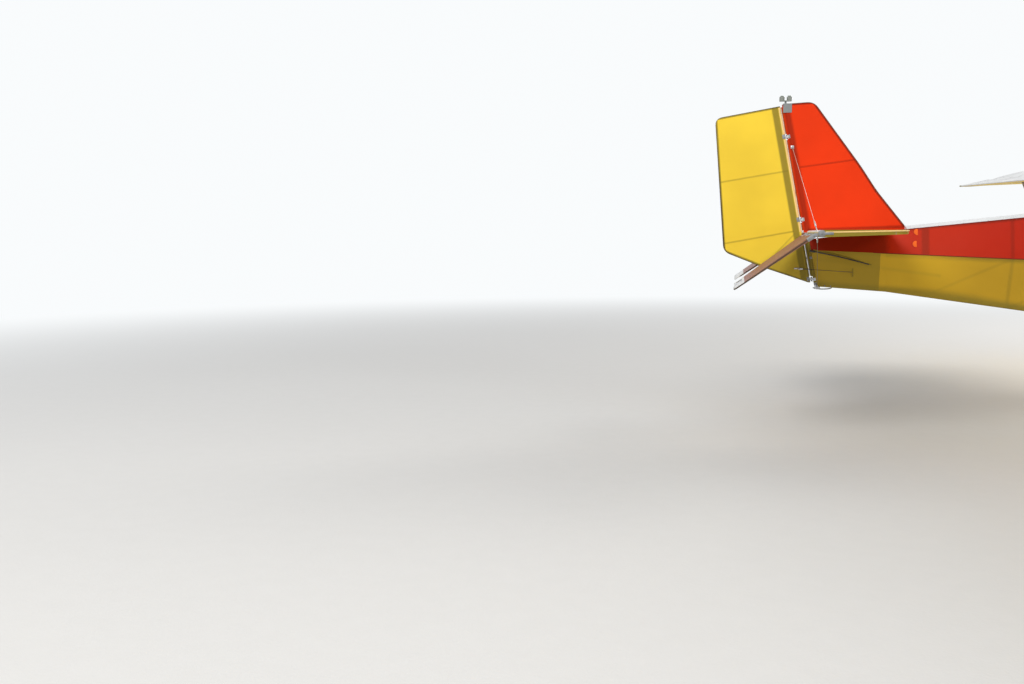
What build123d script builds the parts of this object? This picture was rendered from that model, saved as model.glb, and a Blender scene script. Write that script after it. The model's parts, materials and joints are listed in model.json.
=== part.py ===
from build123d import *
import os
from math import cos, radians, sin, tan

os.makedirs("parts", exist_ok=True)

# A two-seat, high-wing, strut-braced microlight aeroplane on three wheels: aluminium tubes under fabric.
# Millimetres. +X forward, +Y to the left side, +Z up, origin on the ground under the middle of the box.

# Fuselage stations along X
stern_x = -2110
cabin_rear_x = 240
cabin_front_x = 1250
firewall_x = 1650
cowl_front_x = 2560

# Cabin cross-section: seam at the widest level, straight sides above and below it
seam_z = 1165
cabin_half_width = 530
low_side_slope = 0.40
high_side_slope = 0.205
roof_z = 1800
belly_z = 630
belly_rear_z = 731
firewall_low_z = 655
firewall_top_z = 1360
firewall_half_width = 430
wall = 20
pane = 4
longeron_radius = 14

# Rear fuselage: x from the stern, bottom z, bottom half-width, seam z, seam half-width, top z, top half-width
deck_rear_z = 1587
rear_stations = (
    (-120, 1010, 22, 1261, 34, 1324, 28),
    (480, 973, 92, 1238, 138, 1389, 92),
    (cabin_rear_x - stern_x, belly_rear_z, 356, seam_z, cabin_half_width, deck_rear_z, 443),
)
deck_crown = 24
deck_start = 600

# Tail: the rudder hinge line leans aft; the post stands ahead of it and the rudder tube behind it
hinge_low_x, hinge_low_z = -2108, 1010
hinge_rake = 11.1
post_diameter = 35
post_gap = 28
rudder_tube_gap = 25
rudder_tube = 25
trailing_tube = 12
rudder_corner = 42
post_bottom_z = 985
post_top_z = 2262
lug = 5
lug_play = 0.3
pin_diameter = 8

# Tailplane and elevator
elevator_pin_x, elevator_pin_z = -2177, 1365
elevator_droop = 35.6
elevator_chord = 579
elevator_tube = 20
elevator_edge = 8
elevator_corner = 70
elevator_tube_gap = 24
elevator_root = 62
torque_tube = 16
spar_x, spar_z = -2140, 1372
spar_diameter = 44
stabiliser_front_x, stabiliser_front_z = -1640, 1382
stabiliser_front_tube = 26
stabiliser_half_span = 1095
stabiliser_corner = 150
elevator_half_span = stabiliser_half_span + 15

# Wing
wing_chord = 1500
wing_front_x = 1240
wing_root_y = 425
half_span = 4750
wing_incidence = 2.0
wing_dihedral = 1.5
wing_low_z = 1800
crest_back = 430
crest_height = 172
nose_height = 62
rear_spar_back = 1180
rear_spar_height = 62
trailing_edge = 8
surface_gap = 7
aileron_inner, aileron_to_tip = 2440, 246
flap_inner = 25

# Struts
strut_chord = 62
strut_thickness = 24
strut_span = 2250
strut_foot_x, strut_foot_z = 265, 760
strut_foot_spacing = 70
front_strut_back = 370
rear_strut_back = 1060
jury_diameter = 16

# Wheels and legs
tyre_diameter = 340
tyre_width = 96
rim_diameter = 170
hub_width = 76
axle_diameter = 25
main_wheel_x = 480
main_wheel_y = 800
nose_wheel_x = 1960
bow_width = 84
bow_thickness = 20
steering_top_x, steering_top_z = 1760, 760
steering_rake = 18
fork_crown_z = 405

# Propeller
propeller_z = 1165
propeller_diameter = 1700
propeller_x = 2630
spinner_diameter = 240
spinner_tip_x = 2800

# Running clearances
seat = 0.3
running = 5


def rod(start, end, diameter, mode=Mode.ADD):
    """A straight round tube between two points."""
    axis = Vector(*end) - Vector(*start)
    with BuildSketch(Plane(origin=start, z_dir=axis)) as section:
        Circle(diameter / 2)
    extrude(section.sketch, amount=axis.length, mode=mode)


def flat_section(x, half_outline):
    """A closed section across X from its right half: (y, z) corners from bottom to top."""
    with BuildSketch(Plane(origin=(x, 0, 0), x_dir=(0, 1, 0), z_dir=(1, 0, 0))) as section:
        with BuildLine():
            mirrored = [(-y, z) for y, z in reversed(half_outline)]
            Polyline(*half_outline, *mirrored, close=True)
        make_face()
    return section.sketch


# Rear fuselage covers

# The covers end on the post, along the leaning hinge line
lean = radians(hinge_rake)
up_hinge = Vector(-sin(lean), 0, cos(lean))
aft_hinge = Vector(-cos(lean), 0, -sin(lean))


def hinge_point(z, aft=0.0):
    """A point at height z on the rudder hinge line, moved aft square to it."""
    foot = Vector(hinge_low_x, 0, hinge_low_z) + aft_hinge * aft
    return foot + up_hinge * ((z - foot.Z) / up_hinge.Z)


post_low = hinge_point(post_bottom_z, -post_gap)
post_top = hinge_point(post_top_z, -post_gap)
post_length = (post_top - post_low).length
stern_plane = Plane(origin=post_low, z_dir=aft_hinge)

with BuildPart() as rear_cover_lower:
    for x, low_z, low_y, mid_z, mid_y, top_z, top_y in rear_stations:
        with BuildSketch(Plane(origin=(stern_x + x, 0, 0), x_dir=(0, 1, 0), z_dir=(1, 0, 0))) as band:
            with BuildLine():
                Polyline((low_y, low_z), (mid_y, mid_z), (-mid_y, mid_z), (-low_y, low_z), close=True)
            make_face()
            fillet(vertices().group_by(Axis.Y)[0], longeron_radius)
    loft(ruled=True)
    split(bisect_by=stern_plane, keep=Keep.BOTTOM)
    rod(post_low, post_top, post_diameter, mode=Mode.SUBTRACT)
rear_cover_lower.part.label = "rear_cover_lower"
export_step(rear_cover_lower.part, "parts/rear_cover_lower.step")

stabiliser_floor = stabiliser_front_z - stabiliser_front_tube / 2
with BuildPart() as rear_cover_upper:
    for x, low_z, low_y, mid_z, mid_y, top_z, top_y in rear_stations:
        with BuildSketch(Plane(origin=(stern_x + x, 0, 0), x_dir=(0, 1, 0), z_dir=(1, 0, 0))) as band:
            with BuildLine():
                Polyline((mid_y, mid_z), (top_y, top_z), (-top_y, top_z), (-mid_y, mid_z), close=True)
            make_face()
    loft(ruled=True)
    split(bisect_by=stern_plane, keep=Keep.BOTTOM)
    rod(post_low, post_top, post_diameter, mode=Mode.SUBTRACT)
    # The tailplane passes over the stern in a step of the cover
    with BuildSketch(Plane.XZ) as step:
        with BuildLine():
            Polyline(
                (stern_x - 300, spar_z - spar_diameter / 2),
                (spar_x, spar_z - spar_diameter / 2),
                (stabiliser_front_x, stabiliser_floor),
                (stabiliser_front_x + stabiliser_front_tube / 2 + 1, stabiliser_floor),
                (stabiliser_front_x + stabiliser_front_tube / 2 + 1, deck_rear_z),
                (stern_x - 300, deck_rear_z),
                close=True,
            )
        make_face()
    extrude(amount=cabin_half_width, both=True, mode=Mode.SUBTRACT)
rear_cover_upper.part.label = "rear_cover_upper"
export_step(rear_cover_upper.part, "parts/rear_cover_upper.step")


def deck_edge(x):
    """Half-width and height of the deck's edge at a distance x ahead of the stern."""
    _, aft, fore = rear_stations
    share = (x - aft[0]) / (fore[0] - aft[0])
    return aft[6] + share * (fore[6] - aft[6]), aft[5] + share * (fore[5] - aft[5])


with BuildPart() as rear_deck:
    for x in (deck_start, cabin_rear_x - stern_x):
        half_width, edge_z = deck_edge(x)
        with BuildSketch(Plane(origin=(stern_x + x, 0, 0), x_dir=(0, 1, 0), z_dir=(1, 0, 0))):
            with BuildLine():
                crown = ThreePointArc((half_width, edge_z), (0, edge_z + deck_crown), (-half_width, edge_z))
                Line(crown @ 1, crown @ 0)
            make_face()
    loft(ruled=True)
rear_deck.part.label = "rear_deck"
export_step(rear_deck.part, "parts/rear_deck.step")

# Tail post, with the fixed hinge lugs of the rudder
rudder_hinge_heights = (1052, 1470, post_top_z - 214)


def hinge_plate(pin, axis, reach, width, thickness, lift=0.0, hole=0.0):
    """A flat lug square to a hinge axis, from its pin out to a tube, lifted along the axis."""
    with BuildSketch(Plane(origin=pin + axis.normalized() * lift, x_dir=reach, z_dir=axis)) as plate:
        Circle(width / 2)
        with Locations((reach.length / 2, 0)):
            Rectangle(reach.length, width)
        if hole:
            Circle(hole / 2, mode=Mode.SUBTRACT)
    extrude(plate.sketch, amount=thickness / 2, both=True)


lug_width = 2.2 * pin_diameter
fork_lift = lug + lug_play
with BuildPart() as tail_post:
    rod(post_low, post_top, post_diameter)
    for z in rudder_hinge_heights:
        hinge_plate(hinge_point(z), up_hinge, aft_hinge * -post_gap, lug_width, lug, hole=pin_diameter + 2 * lug_play)
tail_post.part.label = "tail_post"
export_step(tail_post.part, "parts/tail_post.step")

# Fin and rudder: flat covers over a front and a rear tube
rudder_low_z = 1022
rudder_low = hinge_point(rudder_low_z, rudder_tube_gap)
rudder_top_z, rudder_corner_z = post_top_z - 4, post_top_z - 78
rudder_outline = (
    (hinge_point(rudder_low_z).X, rudder_low_z),
    (-2450, 1137),
    (-2727, 1246),
    (hinge_point(rudder_corner_z).X - 468, rudder_corner_z),
    (hinge_point(rudder_top_z).X, rudder_top_z),
)
rudder_depth = 560

with BuildPart() as rudder:
    with BuildSketch(Plane.XZ):
        with BuildLine():
            Polyline(*rudder_outline, close=True)
        make_face()
        fillet(vertices().sort_by(Axis.X)[:2], rudder_corner)
    extrude(amount=rudder_tube, both=True)
    with BuildSketch(Plane(origin=rudder_low - up_hinge * 100, x_dir=aft_hinge, z_dir=up_hinge)):
        Circle(rudder_tube / 2)
        with BuildLine():
            Polyline(
                (0, rudder_tube / 2),
                (rudder_depth, trailing_tube / 2),
                (rudder_depth, -trailing_tube / 2),
                (0, -rudder_tube / 2),
                close=True,
            )
        make_face()
    extrude(amount=post_length + 400, mode=Mode.INTERSECT)
rudder.part.label = "rudder"
export_step(rudder.part, "parts/rudder.step")

with BuildPart() as rudder_fittings:
    for z in rudder_hinge_heights:
        pin = hinge_point(z)
        for lift in (-fork_lift, fork_lift):
            hinge_plate(pin, up_hinge, aft_hinge * rudder_tube_gap, lug_width, lug, lift)
        rod(pin - up_hinge * fork_lift, pin + up_hinge * fork_lift, pin_diameter)
    add(rudder.part, mode=Mode.SUBTRACT)
rudder_fittings.part.label = "rudder_fittings"
export_step(rudder_fittings.part, "parts/rudder_fittings.step")

fin_foot_x = -1512
fin_low_z, fin_top_z, fin_corner = 1380, post_top_z + 19, 76
fin_skin, fin_gap = 1.5, 2
fin_half_width = post_diameter / 2 + fin_skin
fin_aft = post_gap - fin_gap
fin_outline = (
    (hinge_point(fin_low_z, -fin_gap).X, fin_low_z),
    (fin_foot_x + 30, fin_low_z),
    (fin_foot_x + 30, 1401),
    (fin_foot_x, 1424),
    (-1704, 1665),
    (-1816, 1837),
    (hinge_point(fin_top_z).X + 218, fin_top_z),
    (hinge_point(post_top_z + 8, -fin_gap).X, post_top_z + 8),
)
with BuildPart() as fin:
    with BuildSketch(Plane.XZ):
        with BuildLine():
            Polyline(*fin_outline, close=True)
        make_face()
        fillet(vertices().sort_by(Axis.Y)[-1], fin_corner)
    extrude(amount=fin_half_width, both=True)
    # The cover goes round the post and ends in a narrow edge just ahead of the hinge line
    fin_side = ((-700, 10), (-260, 13), (-20, fin_half_width), (6, fin_half_width), (fin_aft, 5))
    with BuildSketch(Plane(origin=post_low, x_dir=aft_hinge, z_dir=up_hinge)):
        with BuildLine():
            Polyline(*fin_side, *[(aft, -half) for aft, half in reversed(fin_side)], close=True)
        make_face()
    extrude(amount=post_length + 200, mode=Mode.INTERSECT)
    rod(post_low, post_top + up_hinge * 50, post_diameter, mode=Mode.SUBTRACT)
    # Notches for the rudder's forks
    for z in rudder_hinge_heights[1:]:
        with BuildSketch(Plane(origin=hinge_point(z), x_dir=aft_hinge, z_dir=up_hinge)) as notch:
            Rectangle(2 * (post_gap - 8), 3 * post_diameter)
        extrude(notch.sketch, amount=fork_lift + lug / 2 + running, both=True, mode=Mode.SUBTRACT)
    add(rear_cover_upper.part, mode=Mode.SUBTRACT)
    add(rear_deck.part, mode=Mode.SUBTRACT)
fin.part.label = "fin"
export_step(fin.part, "parts/fin.step")

# Tailplane: two halves, each a cover from the front tube to the rear spar, either side of the post
stabiliser_edge_x = stabiliser_front_x + stabiliser_front_tube / 2
with BuildPart() as stabiliser:
    with BuildSketch(Plane.XY):
        with BuildLine():
            Polyline(
                (spar_x - spar_diameter, fin_half_width),
                (stabiliser_edge_x, fin_half_width),
                (stabiliser_edge_x, stabiliser_half_span),
                (spar_x - spar_diameter, stabiliser_half_span),
                close=True,
            )
        make_face()
        fillet(vertices().group_by(Axis.X)[-1].sort_by(Axis.Y)[-1], stabiliser_corner)
        mirror(about=Plane.XZ)
    extrude(amount=2 * spar_z)
    with BuildSketch(Plane.XZ) as rib:
        with Locations((spar_x, spar_z)):
            Circle(spar_diameter / 2)
        with Locations((stabiliser_front_x, stabiliser_front_z)):
            Circle(stabiliser_front_tube / 2)
        with BuildLine():
            Polyline(
                (spar_x, spar_z + spar_diameter / 2),
                (stabiliser_front_x, stabiliser_front_z + stabiliser_front_tube / 2),
                (stabiliser_front_x, stabiliser_front_z - stabiliser_front_tube / 2),
                (spar_x, spar_z - spar_diameter / 2),
                close=True,
            )
        make_face()
    extrude(amount=stabiliser_half_span, both=True, mode=Mode.INTERSECT)
stabiliser.part.label = "stabiliser"
export_step(stabiliser.part, "parts/stabiliser.step")

# Elevator, at rest drooping under its own weight
droop = radians(elevator_droop)
elevator_pin = Vector(elevator_pin_x, 0, elevator_pin_z)
elevator_aft = Vector(-cos(droop), 0, -sin(droop))
elevator_plane = Plane(origin=elevator_pin, x_dir=elevator_aft, z_dir=(-sin(droop), 0, cos(droop)))
elevator_notch = 330
root_plate = 8
tab_span, tab_chord, tab_y, tab_sheet = 330, 62, -620, 3
across = Vector(0, 1, 0)
with BuildPart() as elevator:
    with BuildSketch(elevator_plane):
        with BuildLine():
            Polyline(
                (0, elevator_root),
                (0, elevator_half_span),
                (elevator_chord, elevator_half_span),
                (elevator_chord, elevator_notch),
                (elevator_tube_gap + elevator_tube, elevator_root),
                close=True,
            )
        make_face()
        fillet(vertices().sort_by(Axis.X)[-2:], elevator_corner)
        mirror(about=Plane.XZ)
        # Bay for the trim tab in the right half's trailing edge
        with Locations((elevator_chord, -tab_y)):
            Rectangle(2 * tab_chord, tab_span + 2 * running, mode=Mode.SUBTRACT)
    extrude(amount=elevator_tube, both=True)
    with BuildSketch(Plane(origin=elevator_pin, x_dir=elevator_aft, z_dir=(0, 1, 0))):
        with Locations((elevator_tube_gap, 0)):
            Circle(elevator_tube / 2)
        with BuildLine():
            Polyline(
                (elevator_tube_gap, elevator_tube / 2),
                (elevator_chord, elevator_edge / 2),
                (elevator_chord, -elevator_edge / 2),
                (elevator_tube_gap, -elevator_tube / 2),
                close=True,
            )
        make_face()
    extrude(amount=elevator_half_span, both=True, mode=Mode.INTERSECT)
    # A root plate on each half holds the end of the crossing tube
    for y in (-elevator_root - root_plate / 2, elevator_root + root_plate / 2):
        hinge_plate(elevator_pin + across * y, across, elevator_aft * elevator_tube_gap, torque_tube + 6, root_plate)
elevator.part.label = "elevator"
export_step(elevator.part, "parts/elevator.step")

# Elevator hinges: lugs on the spar, forks and the crossing tube on the elevator
spar_reach = Vector(spar_x, 0, spar_z) - elevator_pin
elevator_hinge_spans = (180, 620, stabiliser_half_span - 35)
with BuildPart() as elevator_brackets:
    for span in elevator_hinge_spans:
        for y in (-span, span):
            pin = elevator_pin + across * y
            hinge_plate(pin, across, spar_reach, lug_width, lug, hole=pin_diameter + 2 * lug_play)
    add(stabiliser.part, mode=Mode.SUBTRACT)
elevator_brackets.part.label = "elevator_brackets"
export_step(elevator_brackets.part, "parts/elevator_brackets.step")

with BuildPart() as elevator_fittings:
    for span in elevator_hinge_spans:
        for y in (-span, span):
            pin = elevator_pin + across * y
            for lift in (-fork_lift, fork_lift):
                hinge_plate(pin, across, elevator_aft * elevator_tube_gap, lug_width, lug, lift)
            rod(pin - across * fork_lift, pin + across * fork_lift, pin_diameter)
    rod(elevator_pin - across * elevator_root, elevator_pin + across * elevator_root, torque_tube)
    add(elevator.part, mode=Mode.SUBTRACT)
elevator_fittings.part.label = "elevator_fittings"
export_step(elevator_fittings.part, "parts/elevator_fittings.step")

# Trim tab in its bay, a bent sheet
with BuildPart() as trim_tab:
    with BuildSketch(elevator_plane):
        with Locations((elevator_chord - tab_chord / 2, -tab_y)):
            Rectangle(tab_chord, tab_span)
    extrude(amount=tab_sheet / 2, both=True)
trim_tab.part.label = "trim_tab"
export_step(trim_tab.part, "parts/trim_tab.step")

# Tail brace wires
stay_diameter = 3
stay_foot_y = stabiliser_half_span - 95
with BuildPart() as tail_stays:
    for side in (-1, 1):
        outer_top = (spar_x - 19, side * stay_foot_y, spar_z + 9)
        outer_low = (spar_x - 19, side * stay_foot_y, spar_z - 9)
        rod(hinge_point(post_top_z - 284, -post_gap + 6) + Vector(0, side * fin_half_width, 0), outer_top, stay_diameter)
        rod(hinge_point(992, -post_gap) + Vector(0, side * post_diameter / 2, 0), outer_low, stay_diameter)
    add(stabiliser.part, mode=Mode.SUBTRACT)
    add(fin.part, mode=Mode.SUBTRACT)
    add(rear_cover_lower.part, mode=Mode.SUBTRACT)
    add(tail_post.part, mode=Mode.SUBTRACT)
tail_stays.part.label = "tail_stays"
export_step(tail_stays.part, "parts/tail_stays.step")

# Strobe light at the top of the fin: a saddle bracket, a short stem and two clear lobes on a base
lobe_diameter, lobe_pitch, lobe_height = 36, 50, 38
saddle_length, saddle_drop, saddle_sheet, stem_height = 58, 60, 3, 20
strobe_x = hinge_point(fin_top_z, -post_gap).X
saddle_x = strobe_x + 14
saddle_top_z = post_top_z + 12
with BuildPart() as beacon:
    with Locations((saddle_x, 0, saddle_top_z - saddle_drop)):
        Box(
            saddle_length,
            2 * (fin_half_width + saddle_sheet),
            saddle_drop + saddle_sheet,
            align=(Align.CENTER, Align.CENTER, Align.MIN),
        )
    rod((strobe_x, 0, saddle_top_z), (strobe_x, 0, saddle_top_z + stem_height), 14)
    strobe_base_z = saddle_top_z + stem_height
    with BuildSketch(Plane.XY.offset(strobe_base_z)):
        with Locations((strobe_x, 0)):
            SlotCenterToCenter(lobe_pitch, lobe_diameter)
    extrude(amount=5)
    for step in (-1, 1):
        lobe_x = strobe_x + step * lobe_pitch / 2
        rod((lobe_x, 0, strobe_base_z), (lobe_x, 0, strobe_base_z + lobe_height - 8), lobe_diameter)
        rod((lobe_x, 0, strobe_base_z), (lobe_x, 0, strobe_base_z + lobe_height), lobe_diameter - 12)
    add(fin.part, mode=Mode.SUBTRACT)
    rod(post_low, post_top, post_diameter, mode=Mode.SUBTRACT)
beacon.part.label = "beacon"
export_step(beacon.part, "parts/beacon.step")


# Cabin: one hexagonal tube from the rear bulkhead to the firewall, drawn in and made hollow

def low_half_width(z):
    """Half-width of the cabin's lower side at height z."""
    return cabin_half_width - low_side_slope * (seam_z - z)


def belly_at(x):
    """Height of the belly under the cabin at station x."""
    if x < cabin_front_x:
        return belly_rear_z + (belly_z - belly_rear_z) * (x - cabin_rear_x) / (cabin_front_x - cabin_rear_x)
    return belly_z + (firewall_low_z - belly_z) * (x - cabin_front_x) / (firewall_x - cabin_front_x)


roof_half_width = cabin_half_width - high_side_slope * (roof_z - seam_z)
firewall_low_y, firewall_top_y = firewall_half_width - 190, firewall_half_width - 60
# x, bottom z, bottom half-width, seam half-width, top z, top half-width
cabin_stations = (
    (cabin_rear_x, belly_rear_z, low_half_width(belly_rear_z), cabin_half_width, roof_z, roof_half_width),
    (cabin_front_x, belly_z, low_half_width(belly_z), cabin_half_width, roof_z, roof_half_width),
    (firewall_x, firewall_low_z, firewall_low_y, firewall_half_width, firewall_top_z, firewall_top_y),
)


def cabin_solid(inset, overrun=0.0, mode=Mode.ADD):
    """The cabin's whole form, drawn in by an inset all round and run past both ends."""
    sections = []
    for x, low_z, low_y, mid_y, top_z, top_y in cabin_stations:
        run = -overrun if x == cabin_rear_x else overrun if x == firewall_x else 0
        half_outline = (
            (low_y - inset, low_z + inset),
            (mid_y - inset, seam_z),
            (top_y - inset, top_z - inset),
        )
        sections.append(flat_section(x + run, half_outline))
    loft(sections, ruled=True, mode=mode)


door_rear_x, door_front_x = 470, 1235
door_low_z, door_top_z = 800, 1765
door_rear_cut, door_rear_cut_z = 150, 960
door_top_gap = 10
door_sill_z = 1290
door_frame = 55
door_hinge_z = door_top_z + door_top_gap / 2
knuckle_diameter, knuckle_length, leaf = 8, 24, 2.5
door_hinge_y = cabin_half_width - high_side_slope * (door_hinge_z - seam_z) + knuckle_diameter / 2
door_hinge_stations = (door_rear_x + 90, (door_rear_x + door_front_x) / 2, door_front_x - 90)


def knuckle(x, length, side, down):
    """One knuckle of a door hinge with its leaf, which lies on the side below it or above it."""
    face = Vector(high_side_slope, -1).normalized() * (1 if down else -1)
    outward = Vector(1, high_side_slope).normalized()
    centre = Vector(door_hinge_y, door_hinge_z)
    root = centre - outward * (knuckle_diameter / 2 + 0.5)
    with BuildSketch(Plane(origin=(x, 0, 0), x_dir=(0, side, 0), z_dir=(side, 0, 0))) as section:
        with Locations((centre.X, centre.Y)):
            Circle(knuckle_diameter / 2)
        with BuildLine():
            Polyline(
                tuple(centre)[:2],
                tuple(centre + face * 28)[:2],
                tuple(root + face * 28)[:2],
                tuple(root + face * (door_top_gap / 2 + 1))[:2],
                tuple(centre - outward * leaf + face * (door_top_gap / 2 + 1))[:2],
                tuple(centre - outward * leaf)[:2],
                close=True,
            )
        make_face()
    extrude(section.sketch, amount=length / 2, both=True)


def door_sketch(margin):
    """The door's outline seen from the side, grown by a margin."""
    with BuildSketch(Plane.XZ) as outline:
        with BuildLine():
            Polyline(
                (door_rear_x - margin, door_rear_cut_z - margin / 2),
                (door_rear_x + door_rear_cut - margin / 2, door_low_z - margin),
                (door_front_x - 90 + margin / 2, door_low_z - margin),
                (door_front_x + margin, door_low_z + 130 - margin / 2),
                (door_front_x + margin, door_top_z + (door_top_gap if margin else 0)),
                (door_rear_x - margin, door_top_z + (door_top_gap if margin else 0)),
                close=True,
            )
        make_face()
    return outline.sketch


def window_sketch(margin):
    """The door window's outline seen from the side, drawn in by a margin."""
    with BuildSketch(Plane.XZ) as outline:
        width = door_front_x - door_rear_x - 2 * (door_frame + margin)
        height = door_top_z - door_sill_z - door_frame - 2 * margin
        with Locations(((door_front_x + door_rear_x) / 2, (door_top_z - door_frame + door_sill_z) / 2)):
            RectangleRounded(width, height, 60 - margin)
    return outline.sketch


quarter_low_z, quarter_high_z, quarter_rear_x, quarter_front_x = 1560, 1740, 275, 395


def quarter_sketch(margin):
    """The small window behind the door, drawn in by a margin."""
    with BuildSketch(Plane.XZ) as outline:
        with Locations(((quarter_front_x + quarter_rear_x) / 2, (quarter_high_z + quarter_low_z) / 2)):
            RectangleRounded(
                quarter_front_x - quarter_rear_x - 2 * margin, quarter_high_z - quarter_low_z - 2 * margin, 25 - margin
            )
    return outline.sketch


windscreen_sill_z = 1330
reach = 700

with BuildPart() as cabin_lower:
    cabin_solid(0)
    cabin_solid(wall, overrun=wall, mode=Mode.SUBTRACT)
    split(bisect_by=Plane.XY.offset(seam_z), keep=Keep.BOTTOM)
    extrude(door_sketch(running), amount=reach, both=True, mode=Mode.SUBTRACT)
cabin_lower.part.label = "cabin_lower"
export_step(cabin_lower.part, "parts/cabin_lower.step")

with BuildPart() as cabin_upper:
    cabin_solid(0)
    cabin_solid(wall, overrun=wall, mode=Mode.SUBTRACT)
    split(bisect_by=Plane.XY.offset(seam_z), keep=Keep.TOP)
    extrude(door_sketch(running), amount=reach, both=True, mode=Mode.SUBTRACT)
    extrude(quarter_sketch(0), amount=reach, both=True, mode=Mode.SUBTRACT)
    # The windscreen takes what is above its sill and ahead of the front post
    with BuildSketch(Plane.XZ):
        with BuildLine():
            Polyline(
                (cabin_front_x + 25, windscreen_sill_z),
                (firewall_x + 50, windscreen_sill_z),
                (firewall_x + 50, roof_z + 50),
                (cabin_front_x + 25, roof_z + 50),
                close=True,
            )
        make_face()
    extrude(amount=reach, both=True, mode=Mode.SUBTRACT)
    for side in (-1, 1):
        for x in door_hinge_stations:
            for step in (-1, 1):
                knuckle(x + step * (0.75 * knuckle_length + seat), knuckle_length / 2, side, down=False)
cabin_upper.part.label = "cabin_upper"
export_step(cabin_upper.part, "parts/cabin_upper.step")

with BuildPart() as windscreen:
    cabin_solid(0)
    cabin_solid(pane, overrun=wall, mode=Mode.SUBTRACT)
    split(bisect_by=Plane.XY.offset(windscreen_sill_z), keep=Keep.TOP)
    split(bisect_by=Plane.YZ.offset(cabin_front_x + 25), keep=Keep.TOP)
windscreen.part.label = "windscreen"
export_step(windscreen.part, "parts/windscreen.step")

rear_window_tail_x = -240
tail_y, tail_z = deck_edge(rear_window_tail_x - stern_x)
with BuildPart() as rear_windows:
    # Sloping shell behind the cabin, standing on the deck
    for inset, mode in ((0, Mode.ADD), (pane, Mode.SUBTRACT)):
        overrun = 0 if mode == Mode.ADD else pane
        front = flat_section(
            cabin_rear_x + overrun, ((440 - inset, deck_rear_z - overrun * 9), (roof_half_width - inset, roof_z - inset))
        )
        rear = flat_section(
            rear_window_tail_x + (30 if overrun else 0),
            ((tail_y - 30 - inset, tail_z - overrun * 9), (tail_y - 60 - inset, tail_z + 40 - inset)),
        )
        loft([rear, front], ruled=True, mode=mode)
    add(rear_deck.part, mode=Mode.SUBTRACT)
    add(rear_cover_upper.part, mode=Mode.SUBTRACT)
with BuildPart() as quarter_windows:
    extrude(quarter_sketch(seat), amount=reach, both=True)
    cabin_solid(wall / 2 - pane / 2, mode=Mode.INTERSECT)
    cabin_solid(wall / 2 + pane / 2, mode=Mode.SUBTRACT)
with BuildPart() as rear_glazing:
    add(rear_windows.part)
    add(quarter_windows.part)
rear_glazing.part.label = "rear_windows"
export_step(rear_glazing.part, "parts/rear_windows.step")

# Doors, hinged along their top edges
with BuildPart() as door_left:
    extrude(door_sketch(0), amount=-reach)
    cabin_solid(0, mode=Mode.INTERSECT)
    cabin_solid(wall, overrun=wall, mode=Mode.SUBTRACT)
    extrude(window_sketch(0), amount=-reach, mode=Mode.SUBTRACT)
    for x in door_hinge_stations:
        knuckle(x, knuckle_length, 1, down=True)
with BuildPart() as door_glass_left:
    extrude(window_sketch(seat), amount=-reach)
    cabin_solid(wall / 2 - pane / 2, mode=Mode.INTERSECT)
    cabin_solid(wall / 2 + pane / 2, overrun=wall, mode=Mode.SUBTRACT)


def write_pair(left, name):
    """Write a left-hand piece and its mirror image on the right."""
    for side, piece in (("left", left), ("right", mirror(left, about=Plane.XZ))):
        piece.label = f"{name}_{side}"
        export_step(piece, f"parts/{name}_{side}.step")


write_pair(door_left.part, "door")
write_pair(door_glass_left.part, "door_glass")

# Firewall and cowl
firewall_thickness, frame_corner = 6, 30
x_plate = firewall_x
with BuildPart() as firewall:
    rear = flat_section(
        x_plate, ((firewall_low_y, firewall_low_z), (firewall_half_width, seam_z), (firewall_top_y, firewall_top_z))
    )
    extrude(rear, amount=firewall_thickness)
    # Its corners are rounded as the fabric's are, over the frame's tubes
    fillet(firewall.edges().filter_by(Axis.X), frame_corner)
firewall.part.label = "firewall"
export_step(firewall.part, "parts/firewall.step")

cowl_skin = 8
cowl_rear_x = firewall_x + firewall_thickness
# x, bottom z, bottom half-width, seam half-width, top z, top half-width, and the corner radii in the same order
cowl_stations = (
    (cowl_rear_x, firewall_low_z, firewall_low_y, firewall_half_width, firewall_top_z, firewall_top_y, 30, 90, 40),
    (2150, 700, 215, 405, 1385, 290, 90, 200, 90),
    (2420, 800, 170, 320, 1375, 225, 100, 200, 100),
    (cowl_front_x, 930, 130, 215, 1330, 145, 90, 120, 90),
)


def cowl_solid(inset, mode=Mode.ADD):
    """The cowl's form, drawn in by an inset; an inset form stops short of the front face."""
    sections = []
    for x, low_z, low_y, mid_y, top_z, top_y, low_round, mid_round, top_round in cowl_stations:
        run = -1 if inset and x == cowl_rear_x else -inset if x == cowl_front_x else 0
        right = [(low_y - inset, low_z + inset), (mid_y - inset, seam_z), (top_y - inset, top_z - inset)]
        with BuildSketch(Plane(origin=(x + run, 0, 0), x_dir=(0, 1, 0), z_dir=(1, 0, 0))) as section:
            with BuildLine():
                Polyline(*right, *[(-y, z) for y, z in reversed(right)], close=True)
            make_face()
            fillet(vertices().group_by(Axis.Y)[0], low_round - inset)
            fillet(vertices().group_by(Axis.Y)[-1], top_round - inset)
            fillet([vertices().sort_by(Axis.X)[0], vertices().sort_by(Axis.X)[-1]], mid_round - inset)
        sections.append(section.sketch)
    loft(sections, mode=mode)


shaft_hole, intake_diameter, intake_y = 110, 90, 125
exhaust_diameter, exhaust_x, exhaust_z, exhaust_half = 110, 2020, 800, 150
tail_pipe = 42
tail_pipe_start, tail_pipe_end = (exhaust_x, -exhaust_half + 40, exhaust_z), (1930, -150, 640)
socket_diameter = 52
rake = radians(steering_rake)
up_steer = Vector(-sin(rake), 0, cos(rake))


def steering_point(z):
    """A point at height z on the steering axis."""
    return Vector(steering_top_x, 0, steering_top_z) + up_steer * ((z - steering_top_z) / up_steer.Z)


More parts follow.
